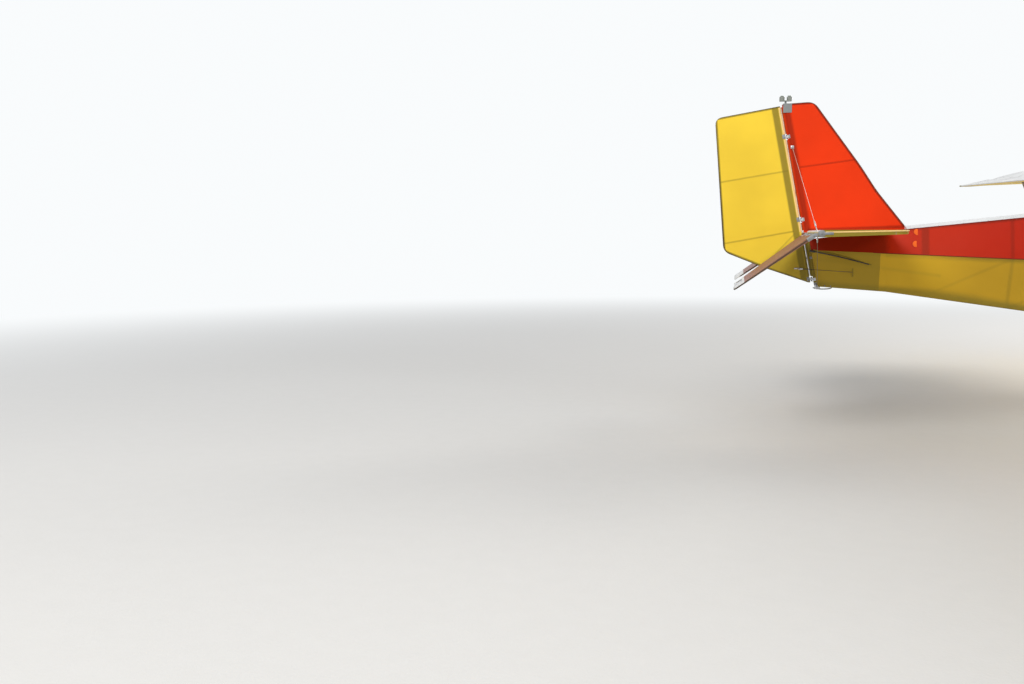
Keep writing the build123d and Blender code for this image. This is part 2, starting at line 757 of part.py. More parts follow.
with BuildPart() as cowl:
    cowl_solid(0)
    cowl_solid(cowl_skin, mode=Mode.SUBTRACT)
    with BuildSketch(Plane.YZ.offset(cowl_front_x + 1)):
        with Locations((0, propeller_z)):
            Circle(shaft_hole / 2)
        with Locations((-intake_y, propeller_z - 20), (intake_y, propeller_z - 20)):
            Circle(intake_diameter / 2)
    extrude(amount=-3 * cowl_skin, mode=Mode.SUBTRACT)
    rod(steering_point(500), steering_point(900), socket_diameter + 2 * running, mode=Mode.SUBTRACT)
    rod(tail_pipe_start, tail_pipe_end, tail_pipe + 2 * running, mode=Mode.SUBTRACT)

with BuildPart() as cowl_upper:
    add(split(cowl.part, bisect_by=Plane.XY.offset(seam_z), keep=Keep.TOP, mode=Mode.PRIVATE))
cowl_upper.part.label = "cowl_upper"
export_step(cowl_upper.part, "parts/cowl_upper.step")

with BuildPart() as cowl_lower:
    add(split(cowl.part, bisect_by=Plane.XY.offset(seam_z), keep=Keep.BOTTOM, mode=Mode.PRIVATE))
cowl_lower.part.label = "cowl_lower"
export_step(cowl_lower.part, "parts/cowl_lower.step")

# Engine, a plain block with its output shaft
hub_diameter, hub_length = 150, 60
engine_length, engine_width, engine_height = 560, 400, 330
engine_front_x = cowl_front_x - 250
engine_low_z = propeller_z - 225
shaft_diameter = 60
with BuildPart() as engine:
    with Locations((engine_front_x - engine_length / 2, 0, engine_low_z + engine_height / 2)):
        Box(engine_length, engine_width, engine_height)
    chamfer(engine.edges().filter_by(Axis.X), 60)
    rod((engine_front_x, 0, propeller_z), (propeller_x - hub_length / 2 - seat, 0, propeller_z), shaft_diameter)
    # Mount tubes back to the firewall
    for y in (-160, 160):
        for z in (engine_low_z + 80, engine_low_z + engine_height - 80):
            rod((engine_front_x - engine_length, y, z), (cowl_rear_x, y, z), 22)
engine.part.label = "engine"
export_step(engine.part, "parts/engine.step")

# Propeller: three twisted blades on a hub, with a spinner over it
# radius share, chord, thickness, pitch angle
blade_stations = ((0.075, 56, 36, 48), (0.35, 128, 22, 30), (0.7, 108, 13, 19), (1.0, 62, 6, 14))
with BuildPart() as propeller:
    for blade in range(3):
        angle = 30 + blade * 120
        turn = radians(angle)
        outward = Vector(0, cos(turn), sin(turn))
        sections = []
        for share, chord, thickness, pitch in blade_stations:
            centre = Vector(propeller_x, 0, propeller_z) + outward * (share * propeller_diameter / 2)
            twist = radians(pitch)
            tangent = Vector(0, -sin(turn), cos(turn))
            chord_dir = tangent * cos(twist) + Vector(1, 0, 0) * sin(twist)
            with BuildSketch(Plane(origin=centre, x_dir=chord_dir, z_dir=outward)) as section:
                Ellipse(chord / 2, thickness / 2)
            sections.append(section.sketch)
        loft(sections)
    rod((propeller_x - hub_length / 2, 0, propeller_z), (propeller_x + hub_length / 2, 0, propeller_z), hub_diameter)
propeller.part.label = "propeller"
export_step(propeller.part, "parts/propeller.step")

spinner_back_x = propeller_x - 45
spinner_wall = 3
with BuildPart() as spinner:
    with BuildSketch(Plane.XZ):
        with BuildLine():
            length = spinner_tip_x - spinner_back_x
            nose = Spline(
                (spinner_back_x, propeller_z + spinner_diameter / 2),
                (spinner_back_x + 0.55 * length, propeller_z + 0.36 * spinner_diameter),
                (spinner_tip_x, propeller_z),
                tangents=((1, 0), (0, -1)),
            )
            Line(nose @ 1, (spinner_back_x, propeller_z))
            Line((spinner_back_x, propeller_z), nose @ 0)
        make_face()
    revolve(axis=Axis((0, 0, propeller_z), (1, 0, 0)))
    add(propeller.part, mode=Mode.SUBTRACT)
    rod((spinner_back_x - 1, 0, propeller_z), (propeller_x, 0, propeller_z), shaft_diameter + 2 * running, Mode.SUBTRACT)
spinner.part.label = "spinner"
export_step(spinner.part, "parts/spinner.step")

# Exhaust, a silencer can under the cowl with its tail pipe
with BuildPart() as exhaust:
    rod((exhaust_x, -exhaust_half, exhaust_z), (exhaust_x, exhaust_half, exhaust_z), exhaust_diameter)
    rod(tail_pipe_start, tail_pipe_end, tail_pipe)
    for y in (-90, 90):
        rod((exhaust_x, y, exhaust_z), (exhaust_x, y, engine_low_z), tail_pipe - 6)
exhaust.part.label = "exhaust"
export_step(exhaust.part, "parts/exhaust.step")

# Wing: one section for the panels and the centre, cut off at the rear spar where the surfaces hang
incidence, dihedral = radians(wing_incidence), radians(wing_dihedral)
span_dir = Vector(0, cos(dihedral), sin(dihedral))
aft_dir = Vector(-cos(incidence), 0, -sin(incidence))
wing_nose_z = wing_low_z + (wing_front_x - cabin_rear_x) * tan(incidence)
wing_origin = Vector(wing_front_x, wing_root_y, wing_nose_z)
surface_radius = rear_spar_height / 2 - 2
surface_pin_back = rear_spar_back + surface_gap + surface_radius
surface_pin_height = rear_spar_height / 2


def wing_plane(span):
    """Plane of the wing section at a distance out from the root: local x aft, local y up."""
    return Plane(origin=wing_origin + span_dir * span, x_dir=aft_dir, z_dir=span_dir)


def wing_section(plane, back=0.0, chord_scale=1.0, height_scale=1.0, full=True):
    """The wing's section in a plane, with or without the part behind the rear spar."""
    with BuildSketch(plane) as section:
        with BuildLine():
            EllipticalCenterArc(
                (back + crest_back * chord_scale, nose_height * height_scale),
                crest_back * chord_scale,
                (crest_height - nose_height) * height_scale,
                90,
                arc_size=90,
            )
            low_nose = EllipticalCenterArc(
                (back + 110 * chord_scale, nose_height * height_scale),
                110 * chord_scale,
                nose_height * height_scale,
                180,
                arc_size=90,
            )
            rear_top = (back + rear_spar_back * chord_scale, rear_spar_height * height_scale)
            crest = (back + crest_back * chord_scale, crest_height * height_scale)
            TangentArc(crest, rear_top, tangent=(1, 0))
            if full:
                tail_x = back + wing_chord * chord_scale
                Polyline(rear_top, (tail_x, trailing_edge), (tail_x, 0), low_nose @ 1)
            else:
                Polyline(rear_top, (rear_top[0], 0), low_nose @ 1)
        make_face()
    return section.sketch


panel_span = (half_span - wing_root_y) / cos(dihedral)
aileron_outer = panel_span - aileron_to_tip
tip_length = 150
# share of the tip's length, set back of the nose, chord scale, height scale
tip_stations = ((0.0, 0, 1.0, 1.0), (0.6, 50, 0.93, 0.72), (1.0, 180, 0.78, 0.3))
with BuildPart() as wing_left:
    loft([wing_section(wing_plane(0)), wing_section(wing_plane(panel_span - tip_length))], ruled=True)
    tip_sections = []
    for share, back, chord_scale, height_scale in tip_stations:
        plane = wing_plane(panel_span - tip_length * (1 - share))
        tip_sections.append(wing_section(plane, back, chord_scale, height_scale))
    loft(tip_sections, ruled=True)
    # Bay for the flap and the aileron
    with BuildSketch(wing_plane(-1)):
        with Locations((rear_spar_back + wing_chord / 2, crest_height / 2)):
            Rectangle(wing_chord, 2 * crest_height)
    extrude(amount=aileron_outer + running + 1, mode=Mode.SUBTRACT)
    # Hinge lugs at the ends of each surface
    for span in (flap_inner - lug / 2 - seat, aileron_inner - lug / 2 - seat, aileron_outer + lug / 2 + seat):
        with BuildSketch(wing_plane(span)) as hinge_lug:
            with Locations((surface_pin_back, surface_pin_height)):
                Circle(18)
            with Locations(((surface_pin_back + rear_spar_back) / 2, surface_pin_height)):
                Rectangle(surface_pin_back - rear_spar_back, 36)
        extrude(amount=lug / 2, both=True)


def control_surface(inner, outer):
    """A flap or an aileron between two distances out from the wing root."""
    with BuildSketch(wing_plane(inner)) as section:
        with Locations((surface_pin_back, surface_pin_height)):
            Circle(surface_radius)
        with BuildLine():
            Polyline(
                (surface_pin_back, surface_pin_height + surface_radius),
                (wing_chord, trailing_edge),
                (wing_chord, 0),
                (surface_pin_back, surface_pin_height - surface_radius),
                close=True,
            )
        make_face()
    extrude(section.sketch, amount=outer - inner)


with BuildPart() as flap_left:
    control_surface(flap_inner, aileron_inner - lug - 2 * seat)
with BuildPart() as aileron_left:
    control_surface(aileron_inner, aileron_outer)
with BuildPart() as wing_centre:
    centre_plane = Plane(origin=(wing_front_x, -wing_root_y, wing_nose_z), x_dir=aft_dir, z_dir=(0, 1, 0))
    extrude(wing_section(centre_plane, full=False), amount=2 * wing_root_y)

write_pair(wing_left.part, "wing")
write_pair(flap_left.part, "flap")
write_pair(aileron_left.part, "aileron")
wing_centre.part.label = "wing_centre"
export_step(wing_centre.part, "parts/wing_centre.step")

# Wing struts: streamlined tubes from the lower frame corner to the two spars
strut_foot = Vector(strut_foot_x, low_half_width(strut_foot_z), strut_foot_z)
front_foot = strut_foot + Vector(strut_foot_spacing, 0, 0)


def wing_underside(back):
    """A point on the wing's underside at the struts' span."""
    return wing_plane(strut_span).from_local_coords(Vector(back, 0, 0))


def strut(foot, head):
    """A streamlined tube from the fuselage's lower side up to the wing's underside."""
    axis = head - foot
    spare = axis.normalized() * strut_chord / 2
    with BuildSketch(Plane(origin=foot - spare, x_dir=(1, 0, 0), z_dir=axis)) as section:
        Ellipse(strut_chord / 2, strut_thickness / 2)
    extrude(section.sketch, amount=axis.length + 2 * strut_chord)
    cabin_solid(0, mode=Mode.SUBTRACT)
    add(rear_cover_lower.part, mode=Mode.SUBTRACT)
    split(bisect_by=wing_underplane, keep=Keep.BOTTOM)


wing_underplane = Plane(origin=wing_origin, x_dir=aft_dir, z_dir=wing_plane(0).y_dir)
front_head, rear_head = wing_underside(front_strut_back), wing_underside(rear_strut_back)
tie_down_hole, tie_down_drop, tie_down_plate = 13, 50, 6
with BuildPart() as strut_front_left:
    strut(front_foot, front_head)
    # Tie-down eye under the wing, on the strut's head fitting
    with BuildSketch(Plane(origin=front_head, x_dir=(1, 0, 0), z_dir=(0, 1, 0))) as eye:
        with Locations((strut_chord / 2 + 8, tie_down_drop)):
            Circle(tie_down_hole * 1.5)
        with Locations((strut_chord / 2 + 8, tie_down_drop / 2)):
            Rectangle(tie_down_hole * 3, tie_down_drop)
        with Locations((strut_chord / 2 + 8, tie_down_drop)):
            Circle(tie_down_hole / 2, mode=Mode.SUBTRACT)
    extrude(eye.sketch, amount=tie_down_plate / 2, both=True)
    split(bisect_by=wing_underplane, keep=Keep.BOTTOM)
with BuildPart() as strut_rear_left:
    strut(strut_foot, rear_head)
write_pair(strut_front_left.part, "strut_front")
write_pair(strut_rear_left.part, "strut_rear")

jury_share = 0.58
with BuildPart() as jury_left:
    for foot, head, back in ((front_foot, front_head, front_strut_back), (strut_foot, rear_head, rear_strut_back)):
        low = foot + (head - foot) * jury_share
        high = wing_plane(strut_span * jury_share).from_local_coords(Vector(back, jury_diameter, 0))
        rod(low, high, jury_diameter)
    add(strut_front_left.part, mode=Mode.SUBTRACT)
    add(strut_rear_left.part, mode=Mode.SUBTRACT)
    split(bisect_by=wing_underplane, keep=Keep.BOTTOM)
with BuildPart() as jury_struts:
    add(jury_left.part)
    mirror(about=Plane.XZ)
jury_struts.part.label = "jury_struts"
export_step(jury_struts.part, "parts/jury_struts.step")


# Wheels

def tyre(centre):
    """A fat tyre with a rounded tread and shoulders."""
    with BuildSketch(Plane(origin=centre, x_dir=(0, 1, 0), z_dir=(1, 0, 0))) as section:
        bead, top, half = rim_diameter / 2, tyre_diameter / 2, tyre_width / 2
        with BuildLine():
            Polyline((-half * 0.72, bead), (-half, (bead + top) / 2), (-half * 0.78, top - 12))
            ThreePointArc((-half * 0.78, top - 12), (0, top), (half * 0.78, top - 12))
            Polyline((half * 0.78, top - 12), (half, (bead + top) / 2), (half * 0.72, bead), (-half * 0.72, bead))
        make_face()
    revolve(section.sketch, axis=Axis(centre, (0, 1, 0)))


def rim(centre):
    """A wheel centre with a dished web, a hub and a bore for its axle."""
    with BuildSketch(Plane(origin=centre, x_dir=(0, 1, 0), z_dir=(1, 0, 0))) as section:
        edge, half = rim_diameter / 2 - seat, tyre_width * 0.36
        hub, bore = 28, axle_diameter / 2 + seat
        with BuildLine():
            Polyline(
                (-half, edge),
                (-half, edge - 10),
                (-8, edge - 16),
                (-8, hub),
                (-hub_width / 2, hub),
                (-hub_width / 2, bore),
                (hub_width / 2, bore),
                (hub_width / 2, hub),
                (8, hub),
                (8, edge - 16),
                (half, edge - 10),
                (half, edge),
                close=True,
            )
        make_face()
    revolve(section.sketch, axis=Axis(centre, (0, 1, 0)))


wheel_z = tyre_diameter / 2
wheel_centres = (
    ("left", (main_wheel_x, main_wheel_y, wheel_z)),
    ("right", (main_wheel_x, -main_wheel_y, wheel_z)),
    ("nose", (nose_wheel_x, 0, wheel_z)),
)
for place, centre in wheel_centres:
    with BuildPart() as tyre_piece:
        tyre(centre)
    with BuildPart() as rim_piece:
        rim(centre)
    tyre_piece.part.label = f"tyre_{place}"
    export_step(tyre_piece.part, f"parts/tyre_{place}.step")
    rim_piece.part.label = f"rim_{place}"
    export_step(rim_piece.part, f"parts/rim_{place}.step")

# Main gear: one sprung bow square to the sloping belly, with an axle at each end
hub_inner_y = main_wheel_y - hub_width / 2
bow_end_y = hub_inner_y - running - bow_thickness / 2
bow_knee_y = low_half_width(belly_at(main_wheel_x)) - 30
bow_foot, bow_bend = 45, 60
belly_run = Vector(cabin_front_x - cabin_rear_x, 0, belly_z - belly_rear_z).normalized()
bow_top = (belly_at(main_wheel_x) - wheel_z) * belly_run.X - bow_thickness / 2 - seat
with BuildPart() as main_gear_bow:
    with BuildSketch(Plane(origin=(main_wheel_x, 0, wheel_z), x_dir=(0, 1, 0), z_dir=belly_run)):
        with BuildLine() as bow_line:
            FilletPolyline(
                (-bow_end_y, -bow_foot),
                (-bow_end_y, bow_bend),
                (-bow_knee_y, bow_top),
                (bow_knee_y, bow_top),
                (bow_end_y, bow_bend),
                (bow_end_y, -bow_foot),
                radius=bow_bend,
            )
            offset(amount=bow_thickness / 2, closed=True, kind=Kind.ARC)
        make_face()
    extrude(amount=bow_width / 2, both=True)
main_gear_bow.part.label = "main_gear_bow"
export_step(main_gear_bow.part, "parts/main_gear_bow.step")

axle_end = 12
with BuildPart() as main_axles:
    for side in (-1, 1):
        inner = (main_wheel_x, side * (bow_end_y + bow_thickness / 2), wheel_z)
        rod(inner, (main_wheel_x, side * (main_wheel_y + hub_width / 2 + axle_end), wheel_z), axle_diameter)
        rod(
            (main_wheel_x, side * (main_wheel_y + hub_width / 2 + seat), wheel_z),
            (main_wheel_x, side * (main_wheel_y + hub_width / 2 + axle_end), wheel_z),
            axle_diameter + 16,
        )
        rod(inner, (main_wheel_x, side * (hub_inner_y - seat), wheel_z), axle_diameter + 16)
main_axles.part.label = "main_axles"
export_step(main_axles.part, "parts/main_axles.step")

# Nose leg: a socket on the firewall with its braces, and the fork that turns in it
inner_leg = 40
socket_low_z, socket_high_z = 480, 800
brace_foot_x, brace_foot_y = firewall_x - 50, 180
with BuildPart() as nose_leg_socket:
    rod(steering_point(socket_low_z), steering_point(socket_high_z), socket_diameter)
    for z in (socket_high_z - 30, firewall_low_z + 75):
        rod(steering_point(z), (cowl_rear_x, 0, z), 34)
    for side in (-1, 1):
        rod(steering_point(socket_low_z + 25), (brace_foot_x, side * brace_foot_y, belly_z + 20), 22)
    rod(steering_point(socket_low_z - 40), steering_point(socket_high_z + 40), inner_leg + 2 * seat, mode=Mode.SUBTRACT)
    cabin_solid(0, mode=Mode.SUBTRACT)
nose_leg_socket.part.label = "nose_leg_socket"
export_step(nose_leg_socket.part, "parts/nose_leg_socket.step")

fork_tube, tow_pin_length = 26, 30
fork_half = tyre_width / 2 + fork_tube / 2 + 2 * running
fork_end = fork_half + fork_tube / 2 + 3
crown = steering_point(fork_crown_z)
with BuildPart() as nose_fork:
    rod(crown, steering_point(socket_high_z + 6), inner_leg)
    rod(crown, steering_point(socket_low_z - running), inner_leg + 14)
    crown_end = Vector(0, fork_end, 0)
    rod(crown - crown_end, crown + crown_end, fork_tube + 8)
    for side in (-1, 1):
        rod(crown + Vector(0, side * fork_half, 0), (nose_wheel_x, side * fork_half, wheel_z), fork_tube)
        rod(
            (nose_wheel_x, side * fork_end, wheel_z),
            (nose_wheel_x, side * (hub_width / 2 + seat), wheel_z),
            44,
        )
    tow_end = fork_end + tow_pin_length
    rod((nose_wheel_x, -tow_end, wheel_z), (nose_wheel_x, tow_end, wheel_z), axle_diameter)
nose_fork.part.label = "nose_fork"
export_step(nose_fork.part, "parts/nose_fork.step")

# Cabin inside: frame tubes, seats, panel, stick, pedals and tanks
frame_tube = 25
post_inset = wall + frame_tube
tube_z = roof_z - wall - frame_tube / 2
with BuildPart() as cabin_frame:
    for side in (-1, 1):
        roof_front = (cabin_front_x - frame_tube, side * (roof_half_width - post_inset), tube_z)
        roof_rear = (cabin_rear_x + frame_tube, side * (roof_half_width - post_inset), tube_z)
        sill_front = (firewall_x - frame_tube, side * (firewall_top_y - post_inset), firewall_top_z - wall - frame_tube)
        rod(roof_rear, roof_front, frame_tube)
        rod(roof_front, sill_front, frame_tube)
    for x in (cabin_rear_x + frame_tube, cabin_front_x - frame_tube):
        rod((x, -(roof_half_width - post_inset), tube_z), (x, roof_half_width - post_inset, tube_z), frame_tube)
cabin_frame.part.label = "cabin_frame"
export_step(cabin_frame.part, "parts/cabin_frame.step")

seat_width, seat_depth, seat_thickness, seat_y = 330, 460, 90, 190
seat_front_x, seat_top_z, back_height = 1060, 960, 560
with BuildPart() as seat_cushions:
    with Locations(*[(seat_front_x - seat_depth / 2, y, seat_top_z - seat_thickness / 2) for y in (-seat_y, seat_y)]):
        Box(seat_depth, seat_width, seat_thickness)
    fillet(seat_cushions.edges().filter_by(Axis.Y), 30)
seat_cushions.part.label = "seat_cushions"
export_step(seat_cushions.part, "parts/seat_cushions.step")

back_lean = 18
with BuildPart() as seat_backs:
    back_plane = Plane(
        origin=(seat_front_x - seat_depth - 2, 0, seat_top_z - seat_thickness),
        x_dir=(-sin(radians(back_lean)), 0, cos(radians(back_lean))),
        z_dir=(0, 1, 0),
    )
    for y in (-seat_y, seat_y):
        with BuildSketch(back_plane.offset(y)) as section:
            with Locations((back_height / 2 + 30, -45)):
                RectangleRounded(back_height, 80, 30)
        extrude(section.sketch, amount=seat_width / 2, both=True)
seat_backs.part.label = "seat_backs"
export_step(seat_backs.part, "parts/seat_backs.step")

seat_tube, seat_leg, seat_cross_tube = 20, 16, 18
rail_y = 110
leg_inset = 40
rail_z = seat_top_z - seat_thickness - seat_tube / 2 - seat
back_rail = -85 - seat_tube / 2 - seat
with BuildPart() as seat_frame:
    for y in (-seat_y, seat_y):
        for dy in (-rail_y, rail_y):
            rail_rear = Vector(seat_front_x - seat_depth - 80, y + dy, rail_z)
            rod((seat_front_x, y + dy, rail_z), rail_rear, seat_tube)
            for dx in (leg_inset, seat_depth - leg_inset):
                leg_x = seat_front_x - dx
                rod((leg_x, y + dy * 0.9, belly_at(leg_x) + wall / 2), (leg_x, y + dy, rail_z), seat_leg)
            back_low = back_plane.from_local_coords(Vector(10, back_rail, y + dy))
            back_high = back_plane.from_local_coords(Vector(back_height, back_rail, y + dy))
            rod(rail_rear, back_low, seat_tube)
            rod(back_low, back_high, seat_tube)
    # Cross tubes join both seats under the front and the rear of the rails
    for dx in (leg_inset, seat_depth - leg_inset):
        end = Vector(seat_front_x - dx, seat_y + rail_y, rail_z)
        rod(end - Vector(0, 2 * end.Y, 0), end, seat_cross_tube)
    add(cabin_lower.part, mode=Mode.SUBTRACT)
seat_frame.part.label = "seat_frame"
export_step(seat_frame.part, "parts/seat_frame.step")

panel_x, panel_low_z, panel_top_z, panel_half = 1500, 1130, 1340, 370
with BuildPart() as instrument_panel:
    with BuildSketch(Plane.YZ.offset(panel_x)):
        with BuildLine():
            Polyline(
                (-panel_half, panel_low_z),
                (panel_half, panel_low_z),
                (panel_half, panel_top_z - 60),
                (panel_half - 90, panel_top_z),
                (-panel_half + 90, panel_top_z),
                (-panel_half, panel_top_z - 60),
                close=True,
            )
        make_face()
    extrude(amount=12)
    with BuildSketch(Plane.YZ.offset(panel_x)):
        with GridLocations(110, 0, 5, 1):
            with Locations((0, panel_low_z + 120)):
                Circle(40)
    extrude(amount=5, mode=Mode.SUBTRACT)
    rod((panel_x + 12, -panel_half + 60, panel_low_z + 30), (firewall_x, -panel_half + 60, panel_low_z + 30), 16)
    rod((panel_x + 12, panel_half - 60, panel_low_z + 30), (firewall_x, panel_half - 60, panel_low_z + 30), 16)
instrument_panel.part.label = "instrument_panel"
export_step(instrument_panel.part, "parts/instrument_panel.step")

stick_x, stick_fork_z, stick_top_z, grip_y = 1150, 900, 1110, 90
with BuildPart() as control_stick:
    rod((stick_x - 20, 0, belly_at(stick_x - 20) + wall / 2), (stick_x, 0, stick_fork_z), 22)
    for y in (-grip_y, grip_y):
        rod((stick_x, 0, stick_fork_z), (stick_x, y, stick_top_z - 100), 18)
        rod((stick_x, y, stick_top_z - 100), (stick_x + 5, y, stick_top_z), 30)
    add(cabin_lower.part, mode=Mode.SUBTRACT)
control_stick.part.label = "control_stick"
export_step(control_stick.part, "parts/control_stick.step")

pedal_x, pedal_bar_z, pedal_top_z, pedal_bar_half = 1440, 790, 900, 300
with BuildPart() as pedals:
    rod((pedal_x, -pedal_bar_half, pedal_bar_z), (pedal_x, pedal_bar_half, pedal_bar_z), 18)
    for y in (-0.75 * pedal_bar_half, 0.75 * pedal_bar_half):
        rod((pedal_x, y, belly_at(pedal_x) + wall / 2), (pedal_x, y, pedal_bar_z), 16)
    for y in (-270, -150, 150, 270):
        rod((pedal_x, y, pedal_bar_z), (pedal_x + 20, y, pedal_top_z), 12)
        rod((pedal_x + 20, y - 45, pedal_top_z), (pedal_x + 20, y + 45, pedal_top_z), 20)
    add(cabin_lower.part, mode=Mode.SUBTRACT)
pedals.part.label = "pedals"
export_step(pedals.part, "parts/pedals.step")

tank_length, tank_width, tank_height, tank_y, tank_z = 150, 300, 320, 170, 950
with BuildPart() as fuel_tanks:
    with Locations(*[(cabin_rear_x + seat + tank_length / 2, y, tank_z) for y in (-tank_y, tank_y)]):
        Box(tank_length, tank_width, tank_height)
    fillet(fuel_tanks.edges().filter_by(Axis.X, reverse=True), 30)
fuel_tanks.part.label = "fuel_tanks"
export_step(fuel_tanks.part, "parts/fuel_tanks.step")
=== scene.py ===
# %% [markdown]
# # Dressing a tube-and-fabric microlight aeroplane
#
# The aeroplane is a frame of aluminium tubes with sewn covers of polyester sailcloth pulled over it. The
# frame file holds every solid at its real size and place. This lesson gives those solids their finish,
# and adds what a solid model leaves out: piping, fittings, bolts, cables, tyre tread, seats and trim.
#
# The first cell loads the frame and its joints, and a helper gives the box of any of its parts.

# %% Load the frame
import json
import math

import bmesh
import bpy
from mathutils import Matrix, Vector


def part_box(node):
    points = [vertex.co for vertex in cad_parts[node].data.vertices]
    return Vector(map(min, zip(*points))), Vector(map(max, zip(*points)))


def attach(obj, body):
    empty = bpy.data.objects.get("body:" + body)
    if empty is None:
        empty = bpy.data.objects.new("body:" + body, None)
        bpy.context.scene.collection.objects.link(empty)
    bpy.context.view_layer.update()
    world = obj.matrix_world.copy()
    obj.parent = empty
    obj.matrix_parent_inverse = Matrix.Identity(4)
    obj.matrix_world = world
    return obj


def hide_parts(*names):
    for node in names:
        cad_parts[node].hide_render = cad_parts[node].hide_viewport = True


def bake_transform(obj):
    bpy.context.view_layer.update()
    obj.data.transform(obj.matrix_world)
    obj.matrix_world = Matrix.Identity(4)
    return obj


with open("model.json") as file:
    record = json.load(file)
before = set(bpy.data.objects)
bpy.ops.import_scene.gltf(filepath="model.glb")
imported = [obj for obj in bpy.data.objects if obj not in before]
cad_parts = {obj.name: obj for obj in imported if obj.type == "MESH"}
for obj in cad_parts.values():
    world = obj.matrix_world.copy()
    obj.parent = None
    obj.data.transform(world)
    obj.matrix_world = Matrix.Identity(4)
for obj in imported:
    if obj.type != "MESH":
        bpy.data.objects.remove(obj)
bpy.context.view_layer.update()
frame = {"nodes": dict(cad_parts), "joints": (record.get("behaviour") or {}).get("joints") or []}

nodes = frame["nodes"]
joints = {joint["name"]: joint for joint in frame["joints"]}

# %% [markdown]
# ## Selecting, shaping and finishing
#
# Modelling operators act on whatever is selected, and loading the frame leaves its nodes selected. So each
# helper starts from an empty selection, picks faces or edges by their place and normal, and ends with the
# piece's place in its mesh: location, rotation and scale are applied, because a body carries its pieces
# from the origin.

# %% Helpers for one piece
def start_clean():
    """Leave edit mode and select nothing."""
    if bpy.context.object and bpy.context.object.mode != "OBJECT":
        bpy.ops.object.mode_set(mode="OBJECT")
    bpy.ops.object.select_all(action="DESELECT")


def take(piece):
    """Make one piece the selected and active one."""
    start_clean()
    piece.select_set(True)
    bpy.context.view_layer.objects.active = piece
    return piece


def settle(piece, name=None):
    """Put a piece's place, turn and size into its mesh."""
    take(piece)
    bpy.ops.object.transform_apply(location=True, rotation=True, scale=True)
    if name:
        piece.name = name
        piece.data.name = name
    return piece


def edit_faces(piece, wanted):
    """Open a piece in edit mode with those faces selected whose centre and normal pass a test."""
    take(piece)
    bpy.ops.object.mode_set(mode="EDIT")
    bpy.ops.mesh.select_mode(type="FACE")
    bpy.ops.mesh.select_all(action="DESELECT")
    cage = bmesh.from_edit_mesh(piece.data)
    for face in cage.faces:
        face.select_set(bool(wanted(face.calc_center_median(), face.normal)))
    bmesh.update_edit_mesh(piece.data)


def leave_edit():
    bpy.ops.object.mode_set(mode="OBJECT")


def apply_modifier(piece, kind, **settings):
    """Add one modifier, set it and apply it."""
    take(piece)
    bpy.ops.object.modifier_add(type=kind)
    modifier = piece.modifiers[-1]
    for key, value in settings.items():
        setattr(modifier, key, value)
    bpy.ops.object.modifier_apply(modifier=modifier.name)
    return piece


SHARP = math.radians(35)


def rounded(piece, width, segments=2):
    """Round every sharp edge."""
    limits = {"limit_method": "ANGLE", "angle_limit": SHARP}
    return apply_modifier(piece, "BEVEL", width=width, segments=segments, **limits)


def recalculate(piece):
    """Merge doubles and point every face outwards."""
    take(piece)
    bpy.ops.object.mode_set(mode="EDIT")
    bpy.ops.mesh.select_all(action="SELECT")
    bpy.ops.mesh.remove_doubles(threshold=0.00001)
    bpy.ops.mesh.normals_make_consistent(inside=False)
    leave_edit()
    return piece


def join(pieces, name):
    """Join several meshes into one piece."""
    start_clean()
    for piece in pieces:
        piece.select_set(True)
    bpy.context.view_layer.objects.active = pieces[0]
    if len(pieces) > 1:
        bpy.ops.object.join()
    joined = bpy.context.object
    joined.name = name
    joined.data.name = name
    return joined


def copy_at(model, matrix):
    """A copy of a finished model with its own mesh, placed by a matrix."""
    twin = model.copy()
    twin.data = model.data.copy()
    bpy.context.scene.collection.objects.link(twin)
    twin.data.transform(matrix)
    return twin


def mirrored(model, name):
    """A copy of a piece on the other side of the aircraft, with its faces pointing outwards again."""
    twin = copy_at(model, Matrix.Diagonal((1, -1, 1, 1)))
    take(twin)
    bpy.ops.object.mode_set(mode="EDIT")
    bpy.ops.mesh.select_all(action="SELECT")
    bpy.ops.mesh.flip_normals()
    leave_edit()
    twin.name = name
    twin.data.name = name
    return twin


made = []


def dress(piece, material, body, smooth=35):
    """Give a piece its material, body and smooth shading; a piece given no body is left without one."""
    take(piece)
    bpy.ops.object.shade_smooth_by_angle(angle=math.radians(smooth))
    piece.data.materials.clear()
    piece.data.materials.append(material)
    if body:
        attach(piece, body)
    made.append(piece.name)
    return piece


def dress_all(pieces, name, material, body, smooth=35):
    """Join pieces under one name and dress them."""
    return dress(join(pieces, name), material, body, smooth)


# %% [markdown]
# Tubes and rods are the stock of this aircraft. A straight one is a cylinder turned onto its axis. A bent
# one is a curve with a round bevel that is then converted to a mesh. A frame helper turns any model that
# was made along +Z to point another way, which is how one bolt serves every fitting.

# %% Helpers for stock shapes
def ahead(distance):
    return Vector((distance, 0, 0))


def sideways(distance):
    return Vector((0, distance, 0))


def upwards(distance):
    return Vector((0, 0, distance))


def along(direction, at=(0, 0, 0)):
    """A matrix that carries a model made along +Z to a place and a direction."""
    turn = Vector(direction).to_track_quat("Z", "Y").to_matrix().to_4x4()
    return Matrix.Translation(Vector(at)) @ turn


def rod(start, end, diameter, sides=16, rim=0.0, end_diameter=None):
    """A straight round rod or taper between two points, with its rims rounded if asked."""
    start, end = Vector(start), Vector(end)
    start_clean()
    bpy.ops.mesh.primitive_cone_add(
        vertices=sides,
        radius1=diameter / 2,
        radius2=(end_diameter or diameter) / 2,
        depth=(end - start).length,
        location=(start + end) / 2,
        rotation=(end - start).to_track_quat("Z", "Y").to_euler(),
    )
    piece = settle(bpy.context.object)
    if rim:
        rounded(piece, rim)
    return piece


def rod_about(middle, reach, diameter, sides, rim=0.0):
    """A rod that reaches as far on both sides of its middle."""
    return rod(middle - reach, middle + reach, diameter, sides, rim)


